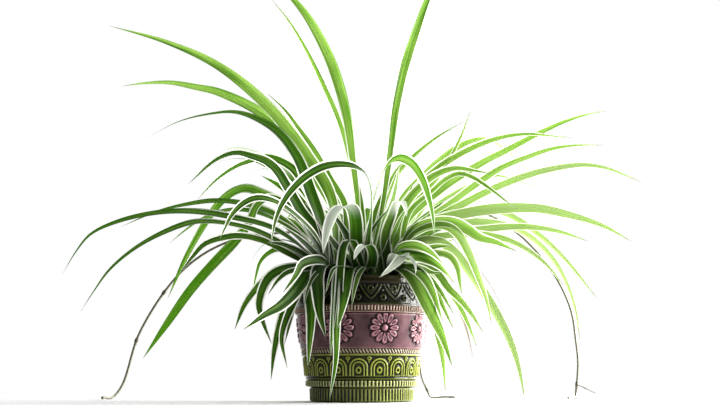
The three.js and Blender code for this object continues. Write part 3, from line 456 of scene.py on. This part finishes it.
def add_leaf(builder, place, row):
    """A blade folded along its middle, that turns its face to the front and waves at its margins."""
    name, width, facing, twist, *_ = row
    points, length = evenly(leaf_line(place, row), BLADE_STEP, *BLADE_SPANS)
    s = np.linspace(0, 1, len(points))
    along = unit(np.gradient(points, axis=0))
    chord = unit((points[-1] - points[0]) * [1, 1, 0])
    level = np.array([-chord[1], chord[0], 0])
    sense = math.copysign(1, chord[0])
    side = unit(level - (along @ level)[:, None] * along)
    up = np.cross(along, side)
    roll = np.radians(sense * (facing * smoothstep(0, WIDEST_AT, s) + twist * s * s))[:, None]
    across = side * np.cos(roll) + up * np.sin(roll)
    top = up * np.cos(roll) - side * np.sin(roll)
    half = np.maximum(width * width_share(s, *SHAPES.get(name, ())) / 2, TIP_HALF_WIDTH)
    seed = rng.uniform(0, 100)
    u = BLADE_ACROSS
    fold = np.minimum(FOLD_SHARE * half, FOLD_MOST)[:, None] * (1 - np.abs(u) ** FOLD_BEND)
    turns = length * s[:, None] / (WAVE_LENGTH + WAVE_SPREAD * math.sin(seed))
    wave = WAVE_SHARE * half[:, None] * np.sin(turns + seed + WAVE_LAG * np.sign(u)) * u**2
    reach = half[:, None] * u
    corners = points[:, None] + across[:, None] * reach[..., None] + top[:, None] * (wave - fold)[..., None]
    pale_from = PALE.get(name, PAST_TIP)
    builder.add(
        corners.reshape(-1, 3),
        grid_faces(len(points), len(u), wrap=False),
        across=reach.ravel(),
        edge=(half[:, None] - np.abs(reach)).ravel(),
        along=np.repeat(s * length, len(u)),
        share=np.repeat(s, len(u)),
        tone=painted_light_tone(points[len(points) // 2], points[-1][2]),
        pale=np.repeat(smoothstep(pale_from, pale_from + PALE_FADE, s), len(u)),
        rim=np.repeat(1 - smoothstep(*PLAIN_FADE, s) * (name in PLAIN), len(u)),
        dry=float(name in DRY),
        seed=seed,
    )


def add_crown(builder, place):
    """The crown of a tuft, ribbed by the bases of its leaves."""
    profile = [
        (CROWN_RADIUS - 3, CROWN_FOOT), (CROWN_RADIUS - 0.6, CROWN_FOOT + 2),
        (CROWN_RADIUS, CROWN_FOOT + 5), (CROWN_RADIUS, SOIL_TOP + 0.5),
        (CROWN_RADIUS + 2.4, SOIL_TOP + 3), (SHEATH_RADIUS - 0.8, SOIL_TOP + 6),
        (SHEATH_RADIUS - 0.6, SOIL_TOP + 13), (SHEATH_RADIUS - 3, CROWN_TOP - 4),
        (SHEATH_RADIUS - 6, CROWN_TOP), (2, CROWN_TOP + 2),
    ]
    corners, faces = turned(profile, CROWN_SIDES)
    angle = np.arctan2(corners[:, 1], corners[:, 0])
    ribs = CROWN_RIB_DEPTH * np.cos(CROWN_RIBS * angle + corners[:, 2] / CROWN_RIB_SLANT)
    corners[:, :2] = corners[:, :2] * (1 + ribs[:, None]) + place
    builder.add(corners, faces, across=angle * SHEATH_RADIUS, along=corners[:, 2], **CROWN_VALUES)


# Pot

POT_COLUMNS = 720
WALL_STEP = 0.42
# How many stand round the pot, and the first one's degrees from the front
ARCHES = (18, -3)
ROSETTES = (9, 20)
SHIELDS = (17, 7.6)
ARCH_SPRING = 32.6
ARCH_EYE = 30.2
ARCH_BOSS = 41.2
ROSETTE_HEIGHT = 69.6
ROSETTE_RADIUS = 16
PETAL_COUNT = 12
KNOB_RADIUS = 3.1
SHIELD_FEET = (97.2, 101.8)
SHIELD_TOP = 111.5
SHIELD_EYE = 106.8
SHIELD_BOSSES = (98.3, 105)
ROPE_FOOT = 46
ROPE_COUNT = 116
ROPE_PITCH = 5.2
# Where glaze is thin and the relief lit, from 0 to 1, low where glaze pools and shade is painted into the
# hollows: on plain wall inside and outside, and by how far relief stands out
THIN_AND_LIT_INSIDE = 0.4
THIN_AND_LIT_OUTSIDE = 0.33
THIN_AND_LIT_BY_EDGE = 0.9
THIN_AND_LIT_BY_RELIEF = 0.14
# The outer wall from the foot to the mouth, as pairs of radius and height
WALL = [
    (49.2, 0), (49.8, 0.5), (51.1, 1.3), (51.3, 13), (50.2, 13.5), (53.2, 14.3), (54.6, 15),
    (54.8, 19.9), (53.9, 20.9), (55.2, 21.4), (55.6, 22.4), (55.2, 23.5), (56.2, 24.6), (57, 33),
    (58.4, 43.4), (59.7, 44), (60, 44.8), (59.7, 45.5), (59.1, 46), (59.4, 50), (60.8, 50.8),
    (64.8, 83.2), (63.8, 83.8), (66, 84.4), (66.3, 85), (65.6, 85.8), (65.8, 90.6), (66.1, 91.2),
    (66, 92.2), (65.5, 93.2), (62.2, 111.6), (62.6, 112.6), (63, 113.6), (62.7, 117.2),
    (61.6, 119.2), (60.2, 120), (57.8, 120), (56.8, 119.4), (56.5, 118),
]
HOLLOW_FOOT = (44, FLOOR_THICKNESS)
HOLLOW_TOP = (57, 88)


def ridge(distance, half_width):
    return np.exp(-((distance / half_width) ** 2))


def around(azimuth, count, turn=0, between=False):
    """Degrees from the nearest of count places, the first at turn; or from the nearest gap."""
    pitch = 360 / count
    return (azimuth - turn + (0 if between else pitch / 2)) % pitch - pitch / 2


def within(z, low, high, soft=0.5):
    return smoothstep(low - soft, low + soft, z) * (1 - smoothstep(high - soft, high + soft, z))


def teeth(azimuth, count):
    """Upright ridges, 0 in the grooves and 1 on the crests."""
    return np.sqrt(0.5 + 0.5 * np.cos(np.radians(azimuth) * count))


def arches(x, z):
    """Two nested arches over an eye with a hole; x is measured along the wall."""
    out = np.hypot(x, np.maximum(z - ARCH_SPRING, 0))
    eye = np.hypot(x, (z - ARCH_EYE) * 0.85)
    return ridge(out - 7.9, 0.95) + ridge(out - 5.2, 0.8) + ridge(eye - 2, 0.85) - 0.5 * ridge(eye, 0.9)


def arch_bosses(x, z):
    """A ring with a stem under it, between two arches."""
    ring = np.hypot(x, z - ARCH_BOSS)
    stem = ridge(x, 0.6) * within(z, 37, 39.4)
    return ridge(ring - 1.3, 0.7) - 0.4 * ridge(ring, 0.6) + 0.6 * stem


def rosette(x, z):
    """Twelve domed petals with slightly raised edges, round a knob."""
    out = np.hypot(x, z - ROSETTE_HEIGHT)
    turn = np.degrees(np.arctan2(z - ROSETTE_HEIGHT, x))
    petal = np.radians(around(turn, PETAL_COUNT)) * out
    blade = np.hypot((out - 9.7) / 5, petal / (0.5 + 0.19 * out))
    petals = 0.6 * np.sqrt(np.clip(1.05 - blade**2, 0, 1)) + 0.5 * ridge(blade - 0.76, 0.18)
    knob = 1.6 * np.sqrt(np.clip(1 - (out / KNOB_RADIUS) ** 2, 0, 1))
    return petals * (out < ROSETTE_RADIUS) * smoothstep(2.6, 4.4, out) + knob


def from_shield(x, z, foot, half_width):
    """Distance, on either side, to an open V with bowed flanks."""
    rise = np.clip(z - foot, 0, None) / (SHIELD_TOP - foot)
    below = np.clip(foot - z, 0, None)
    return np.hypot((np.abs(x) - half_width * rise**0.63) * 0.8, below)


def shields(x, z):
    """Two nested V shapes round an eye."""
    eye = np.hypot(x, (z - SHIELD_EYE) * 0.95)
    ring = ridge(eye - 2.3, 0.8) - 0.5 * ridge(eye, 1.2)
    outer = from_shield(x, z, SHIELD_FEET[0], 10.8)
    inner = from_shield(x, z, SHIELD_FEET[1], 7)
    return ridge(outer, 0.8) + 0.9 * ridge(inner, 0.75) + ring


def shield_bosses(x, z):
    """A ring and a knob above it, between two shields."""
    low, high = (np.hypot(x, z - height) for height in SHIELD_BOSSES)
    return ridge(low - 2.1, 0.75) - 0.5 * ridge(low, 1) + 0.8 * ridge(high, 1)


def relief(azimuth, z, radius):
    """How proud the wall stands; the azimuth is in degrees and 0 at the front."""

    def from_nearest(places, between=False):
        return around(azimuth, *places, between) * radius * math.pi / 180

    rope_turn = np.radians(azimuth) * ROPE_COUNT + 2 * math.pi * (z - ROPE_FOOT) / ROPE_PITCH
    arch = arches(from_nearest(ARCHES), z) + arch_bosses(from_nearest(ARCHES, True), z)
    shield = shields(from_nearest(SHIELDS), z) + shield_bosses(from_nearest(SHIELDS, True), z)
    # lowest and highest edge of each band, its pattern, how proud that stands, and its sunk ground
    bands = (
        (1.6, 12.4, teeth(azimuth, 90), 1, -0.6),
        (14.9, 20.3, teeth(azimuth, 96), 1.5, -0.5),
        (24.9, 43.2, arch, 1.2, -0.3),
        (46.2, 49.9, 0.5 + 0.5 * np.cos(rope_turn), 1, -0.2),
        (51.5, 83.2, rosette(from_nearest(ROSETTES), z), 1.8, 0),
        (86, 90.4, teeth(azimuth, 132), 1.5, -0.3),
        (93.4, 111.2, shield, 1.2, -0.2),
    )
    return sum(
        within(z, low, high, 0.3) * (rise * pattern + ground) for low, high, pattern, rise, ground in bands
    )


def smoothed(field, reach=4):
    """The field averaged over its neighbours; its second axis closes on itself."""
    shifts = range(-reach, reach + 1)
    field = sum(np.roll(field, shift, axis=1) for shift in shifts) / len(shifts)
    padded = np.pad(field, ((reach, reach), (0, 0)), mode="edge")
    return sum(padded[k : k + len(field)] for k in range(len(shifts))) / len(shifts)


def wall_rows(low, high):
    """Radius and height of the outer wall from low to high, with every corner of the wall kept."""
    rows = []
    for (r0, z0), (r1, z1) in zip(WALL, WALL[1:]):
        count = max(1, round(math.hypot(r1 - r0, z1 - z0) / WALL_STEP))
        for t in np.arange(count) / count:
            rows.append((r0 + (r1 - r0) * t, z0 + (z1 - z0) * t))
    rows.append(WALL[-1])
    return [row for row in rows if low <= row[1] <= high]


def inner_radius(z):
    (foot_radius, foot), (top_radius, top) = HOLLOW_FOOT, HOLLOW_TOP
    return foot_radius + (top_radius - foot_radius) * ((z - foot) / (top - foot))


def add_band(builder, outer, inner):
    """A band of the pot: its outer rows with their relief, and its inner rows, joined in a ring."""
    azimuth = np.linspace(0, 360, POT_COLUMNS, endpoint=False)[None]
    radius, height = np.array(outer + inner).T[..., None]
    rows = len(outer)
    carved = relief(azimuth, height[:rows], radius[:rows])
    out = radius + np.pad(carved, ((0, len(inner)), (0, 0)))
    # glaze runs thin on what stands proud of its surroundings, and fills the hollows; the hollows and
    # sunk grounds are also darkened as painted shade
    thin = np.full(out.shape, THIN_AND_LIT_INSIDE)
    proudness = out[:rows] - smoothed(out[:rows])
    thin[:rows] = np.clip(THIN_AND_LIT_OUTSIDE + THIN_AND_LIT_BY_EDGE * proudness + THIN_AND_LIT_BY_RELIEF * carved, 0, 1)
    angle = np.radians(azimuth - 90)
    corners = np.stack([out * np.cos(angle), out * np.sin(angle), height + 0 * out], axis=2)
    ring = grid_faces(len(height) + 1, POT_COLUMNS)
    faces = [tuple(k % out.size for k in face) for face in ring]
    builder.add(corners.reshape(-1, 3), faces, thin=thin.ravel())


# Soil

SOIL_COLUMNS = 160
SOIL_RINGS = 56
SHOULDER_HEIGHT = 84
WALL_GAP = 0.6
CRUMB_COUNT = 420
CRUMB_SIZES = (0.5, 1.7)


def soil_height(x, y):
    slow = np.sin(x / 9 + 1.3) * np.cos(y / 11 - 0.4)
    quick = np.sin(x / 2.3 + 2 * np.sin(y / 3.1)) * np.sin(y / 1.9 + 1.7 * np.cos(x / 2.7))
    return SOIL_TOP - 0.4 + 0.5 * slow + 0.45 * quick


def add_soil(builder):
    low = FLOOR_THICKNESS + CLEARANCE
    neck = MOUTH_RADIUS - 2 * CLEARANCE
    wall = [(inner_radius(z) - WALL_GAP, z) for z in (low, SHOULDER_HEIGHT)]
    side = [(4, low), *wall, (neck, SOIL_TOP - 3)]
    top = [(radius, SOIL_TOP) for radius in np.linspace(neck - WALL_GAP, 0.5, SOIL_RINGS)]
    corners, faces = turned(side + top, SOIL_COLUMNS)
    on_top = corners[:, 2] >= SOIL_TOP
    corners[on_top, 2] = soil_height(corners[on_top, 0], corners[on_top, 1])
    builder.add(corners, faces)


def add_crumbs(builder):
    """Grains of bark, grit and peat, each a rough eight-sided lump, half sunk in the soil."""
    shape = np.array([[1, 0, 0], [0, 1, 0], [-1, 0, 0], [0, -1, 0], [0, 0, 1], [0, 0, -1]], float)
    faces = [(k, (k + 1) % 4, 4) for k in range(4)] + [((k + 1) % 4, k, 5) for k in range(4)]
    for _ in range(CRUMB_COUNT):
        out = (MOUTH_RADIUS - 4) * math.sqrt(rng.uniform())
        angle = rng.uniform(0, 2 * math.pi)
        x, y = out * math.cos(angle), out * math.sin(angle)
        size = rng.uniform(*CRUMB_SIZES) * rng.uniform(0.6, 1.2, 3) * [1, 1, 0.7]
        turn = rng.uniform(0, math.pi)
        cos, sin = math.cos(turn), math.sin(turn)
        spin = np.array([[cos, -sin, 0], [sin, cos, 0], [0, 0, 1]])
        lump = (shape * rng.uniform(0.75, 1.25, (6, 1)) * size) @ spin.T
        lump += [x, y, soil_height(x, y) + 0.2 * size[2]]
        builder.add(lump, faces, crumb=rng.uniform(0.3, 1))


# Runners

TUBE_COLUMNS = 10
TUBE_STEP = 2.2
SWELLING = 0.75
SWELLING_REACH = 1.8
END_SHARE = 0.4
BRACT_LENGTH = 4.5
BRACT_LEANS = (0.25, -0.25)
# A thinner side branch of the right runner
SIDE_BRANCH = [
    (213.5, 18, 80), (221, 14.5, 79), (229, 10.5, 78), (236, 6.8, 78), (240.5, 5.4, 78), (242, 7, 78)
]
BRANCH_RADIUS = 0.5
BRANCH_TAPER = 0.4


def cross_directions(points):
    """Two directions across the line at each point, which turn as little as they can."""
    along = unit(np.gradient(points, axis=0))
    first = unit(np.cross(along[0], [0.3, 1, 0.2]))
    firsts = [first]
    for direction in along[1:]:
        first = unit(first - (first @ direction) * direction)
        firsts.append(first)
    return np.array(firsts), np.cross(along, firsts)


def add_tube(builder, line, radius, swellings, taper=0):
    """A round stem along the line, thicker at the swellings."""
    points, length = evenly(line, TUBE_STEP)
    first, second = cross_directions(points)
    share = np.linspace(0, 1, len(points))
    thick = radius * (1 - taper * share)
    for place in swellings:
        gap = np.linalg.norm(points - place, axis=1)
        thick = thick + SWELLING * radius * ridge(gap, SWELLING_REACH * radius)
    thick[[0, -1]] *= END_SHARE
    angle = np.linspace(0, 2 * math.pi, TUBE_COLUMNS, endpoint=False)[:, None]
    ring = first[:, None] * np.cos(angle) + second[:, None] * np.sin(angle)
    corners = points[:, None] + ring * thick[:, None, None]
    near_node = np.clip(thick / radius - 1, 0, 1)
    builder.add(
        corners.reshape(-1, 3),
        grid_faces(len(points), TUBE_COLUMNS) + end_caps(len(points), TUBE_COLUMNS),
        along=np.repeat(share * length, TUBE_COLUMNS),
        swelling=np.repeat(near_node, TUBE_COLUMNS),
    )


def add_bract(builder, place, away, size):
    """The short dry scale at a node."""
    tip = place + away * size
    side = unit(np.cross(away, [0.2, 1, 0.4])) * size * 0.16
    rise = unit(np.cross(side, away)) * size * 0.12
    corners = [place - side, place + side, place + rise, place - rise * 0.5, tip]
    faces = [(0, 2, 4), (2, 1, 4), (1, 3, 4), (3, 0, 4), (0, 1, 2), (1, 0, 3)]
    builder.add(corners, faces, swelling=1)


def make_runner(row, material):
    """A stem that rises out of the soil, hangs over the rim and ends on the surface."""
    name, place, radius, nodes, seen, lying = row
    hanging = [from_front_view(*point) for point in seen]
    resting = [np.array([*pair, LYING_HEIGHT]) for pair in lying]
    rising = [np.array([*place, z]) for z in (CROWN_FOOT, SOIL_TOP + 2, RISE_HEIGHT)]
    points = [*rising, *hanging, *resting]
    swellings = [hanging[node] for node in nodes] + [points[-1]]
    builder = Builder(("along", "swelling"))
    add_tube(builder, smooth_line(points), radius, swellings)
    for node in nodes:
        onward = unit(points[len(rising) + node + 1] - hanging[node])
        for lean in BRACT_LEANS:
            add_bract(builder, hanging[node], unit(onward + [lean, 0.2, 0.2]), BRACT_LENGTH * radius)
    if name == "runner_right":
        branch = [from_front_view(*point) for point in SIDE_BRANCH]
        add_tube(builder, smooth_line(branch), BRANCH_RADIUS, [branch[1], branch[-1]], BRANCH_TAPER)
    builder.piece(f"{name}_stem", material, name, "runner_stem")


# Materials


class Nodes:
    """Lays out the nodes of a material or of the world."""

    def __init__(self, owner, output="OutputMaterial"):
        owner.use_nodes = True
        self.owner = owner
        self.tree = owner.node_tree
        self.tree.nodes.clear()
        self.output = self.new(output)

    def new(self, kind, inputs=None, **settings):
        """A node with its settings, and with its inputs set or linked by name or place."""
        node = self.tree.nodes.new(f"ShaderNode{kind}")
        for key, value in settings.items():
            setattr(node, key, value)
        for key, value in (inputs or {}).items():
            self.put(value, node.inputs[key])
        return node

    def put(self, value, socket):
        if isinstance(value, bpy.types.NodeSocket):
            self.tree.links.new(value, socket)
        elif socket.type == "RGBA":
            socket.default_value = (*value, 1)
        else:
            socket.default_value = value

    def value(self, name):
        return self.new("Attribute", attribute_name=name).outputs["Fac"]

    def math(self, operation, *values):
        return self.new("Math", dict(enumerate(values)), operation=operation).outputs[0]

    def times(self, first, second):
        return self.math("MULTIPLY", first, second)

    def line(self, value, slope, base):
        return self.math("MULTIPLY_ADD", value, slope, base)

    def sway(self, noise, amount, base):
        """The base, moved up and down by a noise."""
        return self.line(self.math("SUBTRACT", noise, 0.5), amount, base)

    def ramp_up(self, value, low, high):
        """0 below low, 1 above high, and a smooth rise between."""
        inputs = {"Value": value, "From Min": low, "From Max": high}
        return self.new("MapRange", inputs, interpolation_type="SMOOTHSTEP").outputs[0]

    def ramp_down(self, value, low, high):
        return self.math("SUBTRACT", 1, self.ramp_up(value, low, high))

    def blend(self, share, first, second):
        return self.new("Mix", {0: share, 6: first, 7: second}, data_type="RGBA").outputs[2]

    def noise(self, vector, scale, detail=2):
        inputs = {"Vector": vector, "Scale": scale, "Detail": detail}
        return self.new("TexNoise", inputs).outputs["Fac"]

    def vector(self, *parts):
        return self.new("CombineXYZ", dict(enumerate(parts))).outputs[0]

    def place(self):
        return self.new("TexCoord").outputs["Object"]

    def bump(self, height, strength, distance):
        inputs = {"Height": height, "Strength": strength, "Distance": distance}
        return self.new("Bump", inputs).outputs[0]

    def shader(self, kind, **inputs):
        """A shader; the names of its inputs have underscores for spaces."""
        named = {name.replace("_", " "): value for name, value in inputs.items()}
        return self.new(kind, named).outputs[0]

    def mixed(self, share, first, second):
        return self.new("MixShader", {0: share, 1: first, 2: second}).outputs[0]

    def seen(self):
        """1 for what the camera sees, 0 for light that falls on something else."""
        return self.new("LightPath").outputs["Is Camera Ray"]

    def finish(self, shader):
        self.put(shader, self.output.inputs["Surface"])
        return self.owner

    def surface(self, **inputs):
        return self.finish(self.shader("BsdfPrincipled", **inputs))


CREAM = (0.97, 0.98, 0.86)
PALE_FACE = (0.95, 0.97, 0.9)
DRY_BROWN = (0.11, 0.085, 0.05)
# near-black green of the painted shade near the crown
CROWN_SHADE_GREEN = (0.004, 0.014, 0.001)
# A leaf's green in painted shade, half lit and in painted sunlight, blended by its lit tone; in light
# that falls on it and in light that comes through
ON_LEAF = ((0.005, 0.024, 0.0015), (0.15, 0.32, 0.022), (0.25, 0.37, 0.1))
THROUGH_LEAF = ((0.06, 0.2, 0.006), (0.36, 0.58, 0.12), (0.21, 0.31, 0.11))
THROUGH_SHARE = 0.3
RIB_SCALE = (0.42, 0.01)
RIB_CONTRAST = 1.9
PATCH_SCALE = (0.12, 0.03)
PATCH_CONTRAST = 0.5
SUNLIT_TONES = (0.65, 1.25)
STRIPE_SHARE = 0.34
STRIPE_STRENGTH = 0.22
MARGIN_SHARE = 0.26
# Painted shade near the crown: the length along a leaf over which it fades out, and its strength
CROWN_SHADE_LENGTH = (16, 105)
CROWN_SHADE_STRENGTH = 0.9
DRY_TIP = (0.955, 0.99)


def leaf_material(name, green_lift):
    """Striped leaf: green from painted shade to painted sunlight by its lit tone, with cream margins, fine
    ribs and painted shade near the crown.
    """
    n = Nodes(bpy.data.materials.new(name))
    across, along, seed, tone, edge = map(n.value, ("across", "along", "seed", "tone", "edge"))
    out = n.math("ABSOLUTE", across)
    half = n.math("ADD", edge, out)
    ribs, patches = (
        n.noise(n.vector(n.times(across, over), n.times(along, down), seed), 1, detail)
        for (over, down), detail in ((RIB_SCALE, 3), (PATCH_SCALE, 1))
    )
    # painted light: the lit tone and the tuft's lift move the green from painted shade towards painted
    # sunlight
    shade = n.sway(ribs, RIB_CONTRAST, n.math("ADD", tone, green_lift))
    shade = n.sway(patches, PATCH_CONTRAST, shade)
    sunlit = n.ramp_up(shade, *SUNLIT_TONES)
    shade = n.math("MINIMUM", n.math("MAXIMUM", shade, 0), 1)
    stripe = n.times(n.ramp_down(out, 0.3, n.times(half, STRIPE_SHARE)), STRIPE_STRENGTH)
    width = n.math("MINIMUM", n.times(half, MARGIN_SHARE), n.line(patches, 0.9, 0.75))
    # cream margins run narrower on leaves whose painted light tone is higher
    width = n.times(width, n.line(tone, -0.45, 1.15))
    margin = n.ramp_down(edge, n.times(width, 0.8), n.times(width, 1.15))
    # painted shade near the crown darkens the green and fades the cream margin
    crown_shade = n.ramp_down(along, *CROWN_SHADE_LENGTH)
    margin = n.times(margin, n.line(crown_shade, -CROWN_SHADE_STRENGTH, n.value("rim")))
    pale = n.times(n.value("pale"), n.line(ribs, -1.1, 1.1))
    old = n.math("MAXIMUM", n.value("dry"), n.times(n.ramp_up(n.value("share"), *DRY_TIP), patches))

    def coloured(shaded_green, half_lit_green, sunny, striped=0):
        green = n.blend(sunlit, n.blend(shade, shaded_green, half_lit_green), sunny)
        for share, colour in (
            (striped, half_lit_green),
            # painted shade near the crown
            (n.times(crown_shade, CROWN_SHADE_STRENGTH), CROWN_SHADE_GREEN),
            (margin, CREAM),
            (pale, PALE_FACE),
            (old, DRY_BROWN),
        ):
            green = n.blend(share, green, colour)
        return green

    surface = n.shader(
        "BsdfPrincipled",
        Base_Color=coloured(*ON_LEAF, stripe),
        Roughness=n.line(ribs, 0.22, 0.3),
        Specular_IOR_Level=0.1,
        Normal=n.bump(ribs, 0.1, 0.0004),
    )
    shine = n.shader("BsdfTranslucent", Color=coloured(*THROUGH_LEAF))
    return n.finish(n.mixed(THROUGH_SHARE, surface, shine))


# Glaze by height: a band's top, its colour where it runs thin and where it fills the hollows; the dark
# hollow colours are partly painted shade
GLAZE = [
    (13.6, (0.24, 0.27, 0.065), (0.0008, 0.0015, 0.0002)),
    (20.8, (0.38, 0.4, 0.16), (0.0008, 0.0015, 0.0002)),
    (24.6, (0.12, 0.14, 0.02), (0.001, 0.002, 0.0002)),
    (43.6, (0.29, 0.32, 0.055), (0.008, 0.012, 0.0006)),
    (45.8, (0.26, 0.28, 0.06), (0.01, 0.015, 0.002)),
    (50.6, (0.46, 0.38, 0.28), (0.02, 0.01, 0.005)),
    (84, (0.33, 0.16, 0.185), (0.006, 0.001, 0.002)),
    (91.4, (0.35, 0.24, 0.19), (0.006, 0.002, 0.001)),
    # the upper band's near-black green is partly its glaze and partly painted shade of the leaves above
    (111.8, (0.028, 0.033, 0.006), (0.0004, 0.0006, 0.0001)),
    (120, (0.032, 0.025, 0.006), (0.001, 0.0006, 0.0001)),
]
GLAZE_SOFTNESS = 0.5
GLAZE_DRIFT = 0.0014
GLAZE_CLOUDS = 0.45
SPECKLE_BROWN = (0.03, 0.02, 0.01)


def glaze_ramp(n, share, column):
    node = n.new("ValToRGB", {0: share})
    stops = node.color_ramp.elements
    for stop, place, row in zip(stops, (0, 1), (GLAZE[0], GLAZE[-1])):
        stop.position = place
        stop.color = (*row[column], 1)
    for below, above in zip(GLAZE, GLAZE[1:]):
        for side, row in ((-GLAZE_SOFTNESS, below), (GLAZE_SOFTNESS, above)):
            stops.new((below[0] + side) / POT_HEIGHT).color = (*row[column], 1)
    return node.outputs["Color"]


def glaze_material(name):
    """Glossy glaze, pale where it runs thin on the relief and dark where it fills the hollows, partly
    painted shade.
    """
    n = Nodes(bpy.data.materials.new(name))
    place = n.place()
    height = n.new("SeparateXYZ", {0: place}).outputs["Z"]
    height = n.sway(n.noise(place, 260), GLAZE_DRIFT, height)
    share = n.times(height, 1 / (POT_HEIGHT * MM))
    cloud = n.noise(place, 55, 3)
    # pale where glaze runs thin, dark where it pools, with painted shade in the hollows
    thin = n.ramp_up(n.sway(cloud, GLAZE_CLOUDS, n.value("thin")), 0.05, 0.95)
    colour = n.blend(thin, glaze_ramp(n, share, 2), glaze_ramp(n, share, 1))
    speckle = n.ramp_up(n.noise(place, 900, 1), 0.66, 0.74)
    return n.surface(
        Base_Color=n.blend(n.times(speckle, 0.25), colour, SPECKLE_BROWN),
        Roughness=n.line(cloud, 0.18, 0.12),
        Specular_IOR_Level=0.03,
        Coat_Weight=0.22,
        Coat_Roughness=0.05,
        Normal=n.bump(n.noise(place, 420), 0.12, 0.0006),
    )


WET_PEAT = (0.018, 0.011, 0.007)
DRY_PEAT = (0.085, 0.055, 0.034)
BARK = (0.16, 0.11, 0.07)
STEM_GREEN = (0.085, 0.1, 0.045)
STEM_BROWN = (0.13, 0.11, 0.07)
STEM_NODE = (0.035, 0.025, 0.018)


def soil_material(name):
    n = Nodes(bpy.data.materials.new(name))
    place = n.place()
    grain = n.noise(place, 700, 4)
    peat = n.blend(n.ramp_up(grain, 0.35, 0.7), WET_PEAT, DRY_PEAT)
    return n.surface(
        Base_Color=n.blend(n.times(n.value("crumb"), 0.6), peat, BARK),
        Roughness=n.line(n.noise(place, 60), 0.25, 0.7),
        Normal=n.bump(grain, 0.8, 0.0012),
    )


def runner_material(name):
    n = Nodes(bpy.data.materials.new(name))
    streak = n.noise(n.vector(n.value("along"), 0, 0), 0.12, 3)
    fibre = n.noise(n.place(), 1400)
    stem = n.blend(n.ramp_up(streak, 0.35, 0.65), STEM_GREEN, STEM_BROWN)
    return n.surface(
        Base_Color=n.blend(n.times(n.value("swelling"), 0.85), stem, STEM_NODE),
        Roughness=n.line(fibre, 0.2, 0.4),
        Normal=n.bump(fibre, 0.4, 0.0003),
    )


FLOOR_GREYS = ((0.44, 0.44, 0.435), (0.48, 0.48, 0.475))
FLOOR_FADE = (0.1, 0.7)


def floor_material(name):
    """Pale grey that fades into white further out."""
    n = Nodes(bpy.data.materials.new(name))
    grey = n.blend(n.noise(n.place(), 3), *FLOOR_GREYS)
    matt = n.shader("BsdfPrincipled", Base_Color=grey, Roughness=0.7)
    distance = n.new("VectorMath", {0: n.place()}, operation="LENGTH").outputs["Value"]
    faded = n.times(n.ramp_up(distance, *FLOOR_FADE), n.seen())
    return n.finish(n.mixed(faded, matt, n.shader("Emission")))


# Pieces

# Each band of the pot: its lowest and highest height, and its inner side from the top down
BANDS = (
    ("pot_lower", 0, 50.4, [(2, FLOOR_THICKNESS), (2, 0.4), (46, 0.4), (47, 0)]),
    ("pot_middle", 50.4, 84, []),
    ("pot_upper", 84, POT_HEIGHT, []),
)
MOUTH = [(56.6, 108), HOLLOW_TOP]

glaze = glaze_material("glaze")
for band, low, high, underside in BANDS:
    foot = max(low, FLOOR_THICKNESS)
    top = MOUTH if high == POT_HEIGHT else [(inner_radius(high), high)]
    builder = Builder(("thin",))
    add_band(builder, wall_rows(low, high), [*top, (inner_radius(foot), foot), *underside])
    builder.piece(band, glaze, "pot", "glazed_pot")

builder = Builder(("crumb",))
add_soil(builder)
add_crumbs(builder)
builder.piece("soil_surface", soil_material("soil"), "soil", "potting_soil")

for tuft, (place, green_lift, leaves) in TUFTS.items():
    builder = Builder(LEAF_VALUES)
    add_crown(builder, place)
    for row in leaves:
        add_leaf(builder, place, row)
    leafy = leaf_material(f"leaf_{tuft}", green_lift)
    builder.piece(f"leaves_{tuft}", leafy, f"tuft_{tuft}", f"leaf_{tuft}")

stem = runner_material("runner")
for row in RUNNERS:
    make_runner(row, stem)

# Floor, light and camera

FLOOR_HALF = 6
floor = placed("floor", bpy.data.meshes.new("floor"))
floor_corners = [(x * FLOOR_HALF, y * FLOOR_HALF, 0) for x, y in ((-1, -1), (1, -1), (1, 1), (-1, 1))]
floor.data.from_pydata(floor_corners, [], [(0, 1, 2, 3)])
floor.data.materials.append(floor_material("floor"))

# Each window's place and size in metres, power in watts and colour; all face the plant's middle
PLANT_MIDDLE = np.array([0, 0, 0.16])
WINDOWS = {
    "window_back": ((0.95, 1.15, 0.65), (1.5, 1.3), 75, (1, 0.99, 0.96)),
    "window_right": ((1.45, 0.1, 0.4), (0.9, 1.2), 140, (1, 0.99, 0.97)),
}
for name, (place, size, power, colour) in WINDOWS.items():
    light = bpy.data.lights.new(name, "AREA")
    light.shape = "RECTANGLE"
    light.size, light.size_y = size
    light.energy = power
    light.color = colour
    lamp = placed(name, light)
    lamp.location = place
    x, y, z = PLANT_MIDDLE - place
    lamp.rotation_euler = (math.pi / 2 + math.atan2(z, math.hypot(x, y)), 0, math.atan2(y, x) - math.pi / 2)
    lamp.visible_camera = False

# The soft light grows towards the brightest side of the room; the camera sees plain white
BRIGHTEST_SIDE = (0.5, 0.55, 0.72)
SOFT_LIGHT = {"From Min": -0.8, "From Max": 0.9, "To Min": 0.08, "To Max": 1.25}
SOFT_COLOUR = (0.97, 0.98, 1)
sky = Nodes(bpy.data.worlds.new("studio"), "OutputWorld")
towards = sky.new("TexCoord").outputs["Generated"]
lean = sky.new("VectorMath", {0: towards, 1: BRIGHTEST_SIDE}, operation="DOT_PRODUCT").outputs["Value"]
strength = sky.math("POWER", sky.new("MapRange", {"Value": lean, **SOFT_LIGHT}).outputs[0], 2)
soft = sky.shader("Background", Color=SOFT_COLOUR, Strength=strength)
white = sky.shader("Background", Color=(1, 1, 1))
scene.world = sky.finish(sky.mixed(sky.seen(), soft, white))
scene.view_settings.view_transform = "Standard"

camera = placed("camera", bpy.data.cameras.new("camera"))
camera.data.lens = LENS
camera.data.sensor_width = 36
camera.location = EYE * MM
camera.rotation_euler = (math.radians(90 + EYE_PITCH), 0, 0)
scene.camera = camera
